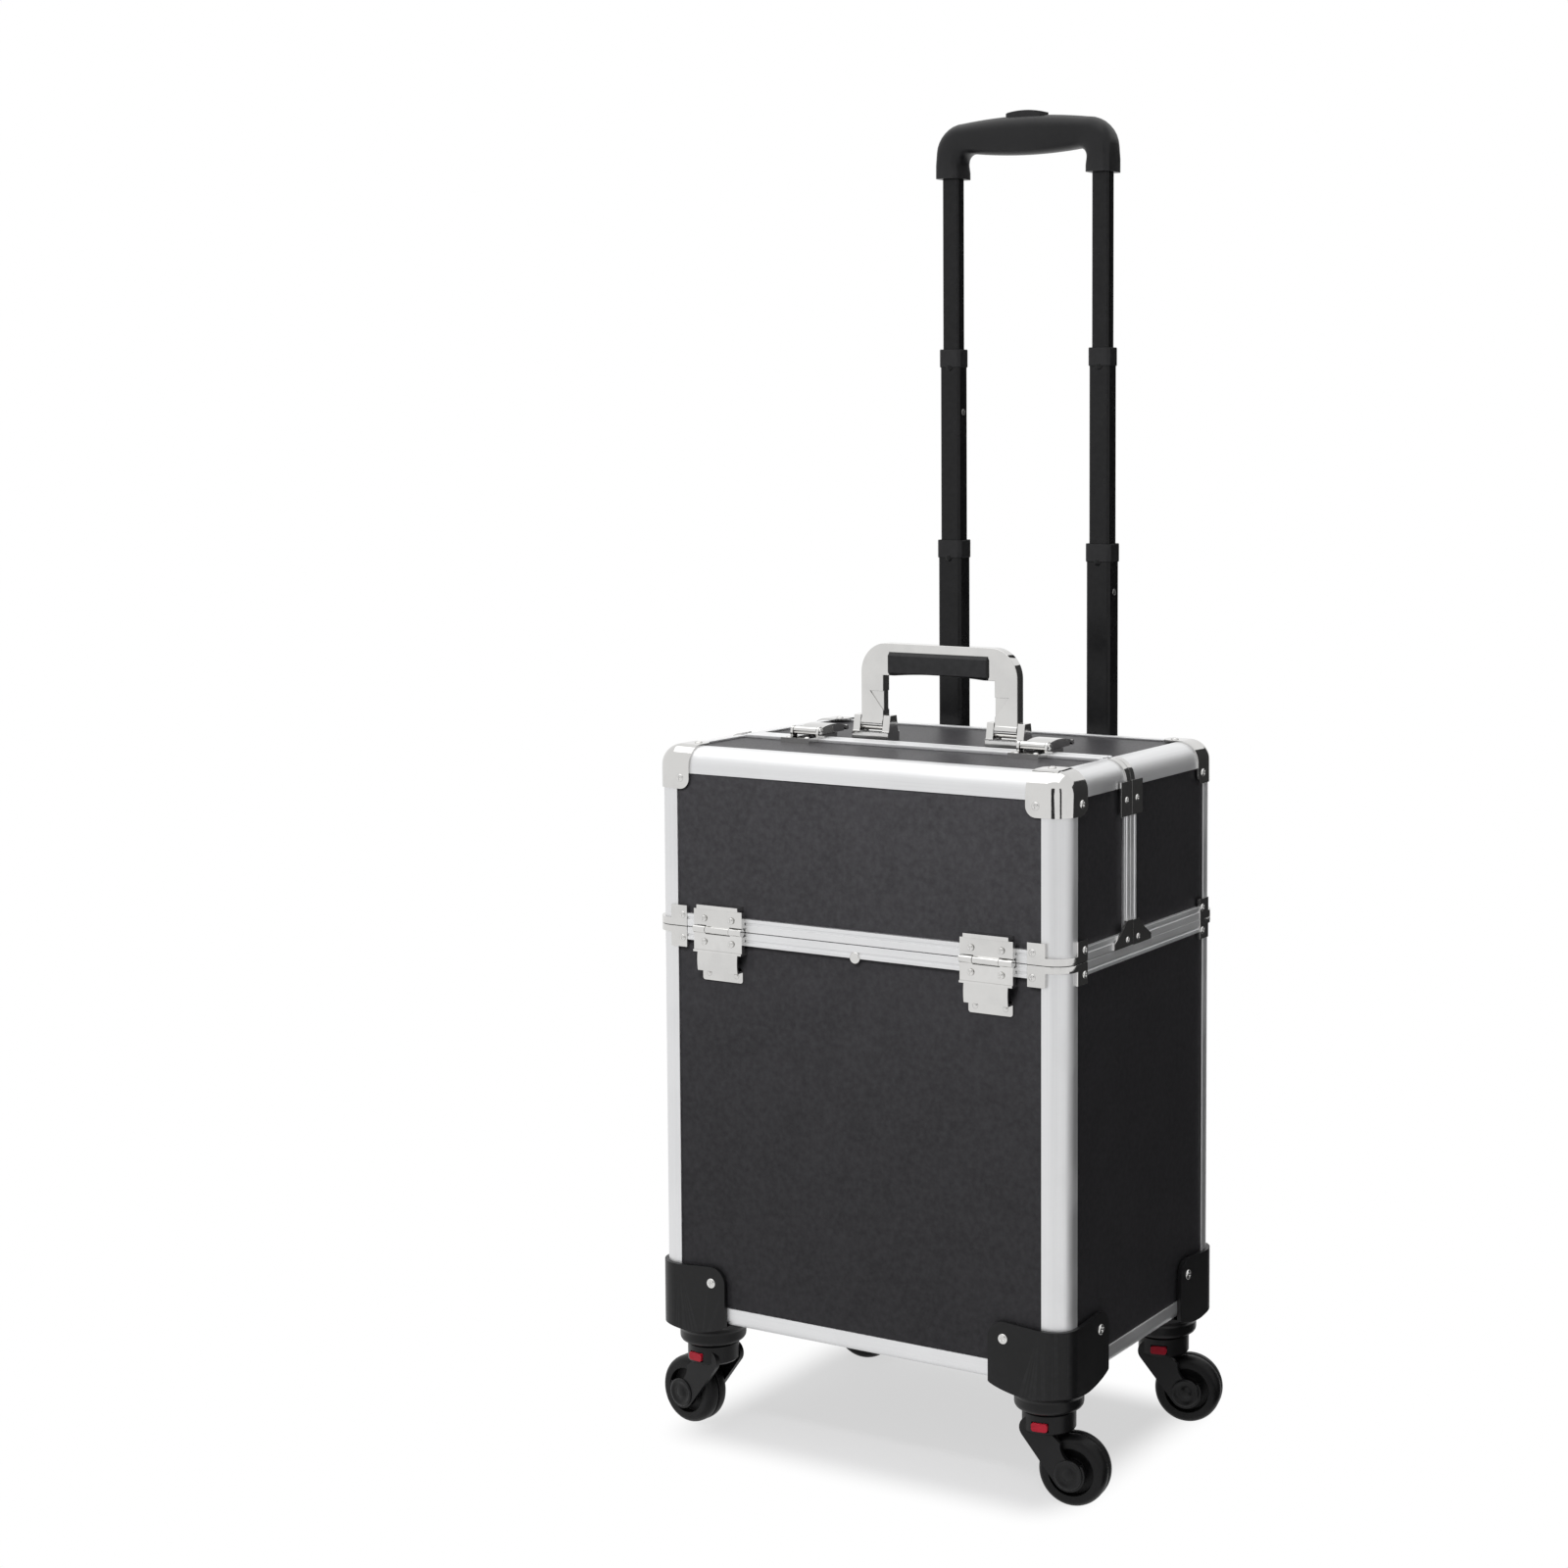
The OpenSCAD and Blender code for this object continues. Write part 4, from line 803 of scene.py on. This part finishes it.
for latch in SIDES:
    middle = latch * LATCH_X
    for side in SIDES:
        base = (middle + side * LATCH_SCREW_X, BASE_SCREW_Y, PLATE_TOP)
        add_screw(LID_SCREWS, base, UP, LATCH_SCREW)
        add_rivet(LID_SCREWS, (middle + side * LATCH_EAR, PIN_Y, PIN_Z), (side, 0, 0), PIN_HEAD)
    add_screw(CASE_SCREWS, (middle, CATCH_SCREW_Y, PLATE_TOP), UP, LATCH_SCREW)
print("latches at", LATCH_X, "to either side")

# %% Tab on the band
TAB_X, TAB_DROP, TAB_SUNK = 3, 9, 0.4
TAB_PROFILE = [(4.2, -1), (4.2, 0.6), (3.6, 1.0), (0.4, 1.1)]

tab_place = (TAB_X, -(HALF_D + BAND_PROUD - TAB_SUNK), SEAM - TAB_DROP)
add_turned(CASE_SCREWS, tab_place, FRONT, TAB_PROFILE)
for name, mesh, body in (("case_screws", CASE_SCREWS, "case"), ("lid_screws", LID_SCREWS, "lid")):
    print(finish_piece(name, mesh, body, "chrome").name)

# %% [markdown]
# ## Marks on the telescopic handle
# Each stage has a rivet near its upper end, where the lock sits, and a bright snap stud in its flank.
# The stages slide into one another with 0.3 mm to spare, so a full dome would cut into the next tube
# when the handle goes down. The studs are therefore the same domes with a much smaller rise.

# %% Studs and rivets of the telescopic handle
TUBE_SPACING = 132
RIVET_DROP, TUBE_RIVET = 14, 3.0
SNAP_STUD, STUD_RISE = 2.4, 0.24


def tube_marks(stage, node, stud_drop, outwards):
    """Two rivets near the tubes' upper ends, and studs in the outer or inner flanks."""
    low, high = box_mm(node)
    tube_x, middle_y = TUBE_SPACING / 2, (low.y + high.y) / 2
    flank = tube_x + outwards * (high.x - tube_x)
    rivets, studs = bmesh.new(), bmesh.new()
    for side in SIDES:
        add_rivet(rivets, (side * tube_x, low.y, high.z - RIVET_DROP), FRONT, TUBE_RIVET)
        place = (side * flank, middle_y, high.z - stud_drop)
        add_turned(studs, place, (side * outwards, 0, 0), dome(SNAP_STUD, STUD_RISE))
    finish_piece(stage + "_rivets", rivets, stage, "tube_black")
    finish_piece(stage + "_studs", studs, stage, "chrome")
    print(stage, "rivets and studs")


tube_marks("middle_stage", "middle_tubes", stud_drop=49, outwards=-1)
tube_marks("lower_stage", "lower_tubes", stud_drop=37, outwards=1)

# %% [markdown]
# ## Caster hubs
# The disc at the end of each fork arm carries a raised ring and the head of the axle. The axle's
# direction comes from the frame: it is square to the line from the swivel axis to the wheel's centre.

# %% Hub caps
CASTER_INSET, ARM_FACE = 27, 14.8
HUB_RING = [(10.4, -0.4), (10.4, 0.7), (9.7, 1.2), (8.3, 1.2), (7.6, 0.45)]
AXLE_HEAD = [(4.4, 0.45), (3.9, 1.1), (2.6, 1.6), (0.5, 1.7)]


def hub_caps(name, side, end):
    low, high = box_mm("wheel_" + name)
    centre = (low + high) / 2
    swivel = Vector((side * (HALF_W - CASTER_INSET), end * (HALF_D - CASTER_INSET), centre.z))
    trail = (centre - swivel).normalized()
    axle = Vector((-trail.y, trail.x, 0))
    mesh = bmesh.new()
    for way in SIDES:
        add_turned(mesh, centre + way * ARM_FACE * axle, way * axle, HUB_RING + AXLE_HEAD)
    return finish_piece("hub_caps_" + name, mesh, "caster_" + name, "plastic_black")


for end, end_name in ((-1, "front"), (1, "rear")):
    for side, side_name in ((-1, "left"), (1, "right")):
        print(hub_caps(end_name + "_" + side_name, side, end).name)
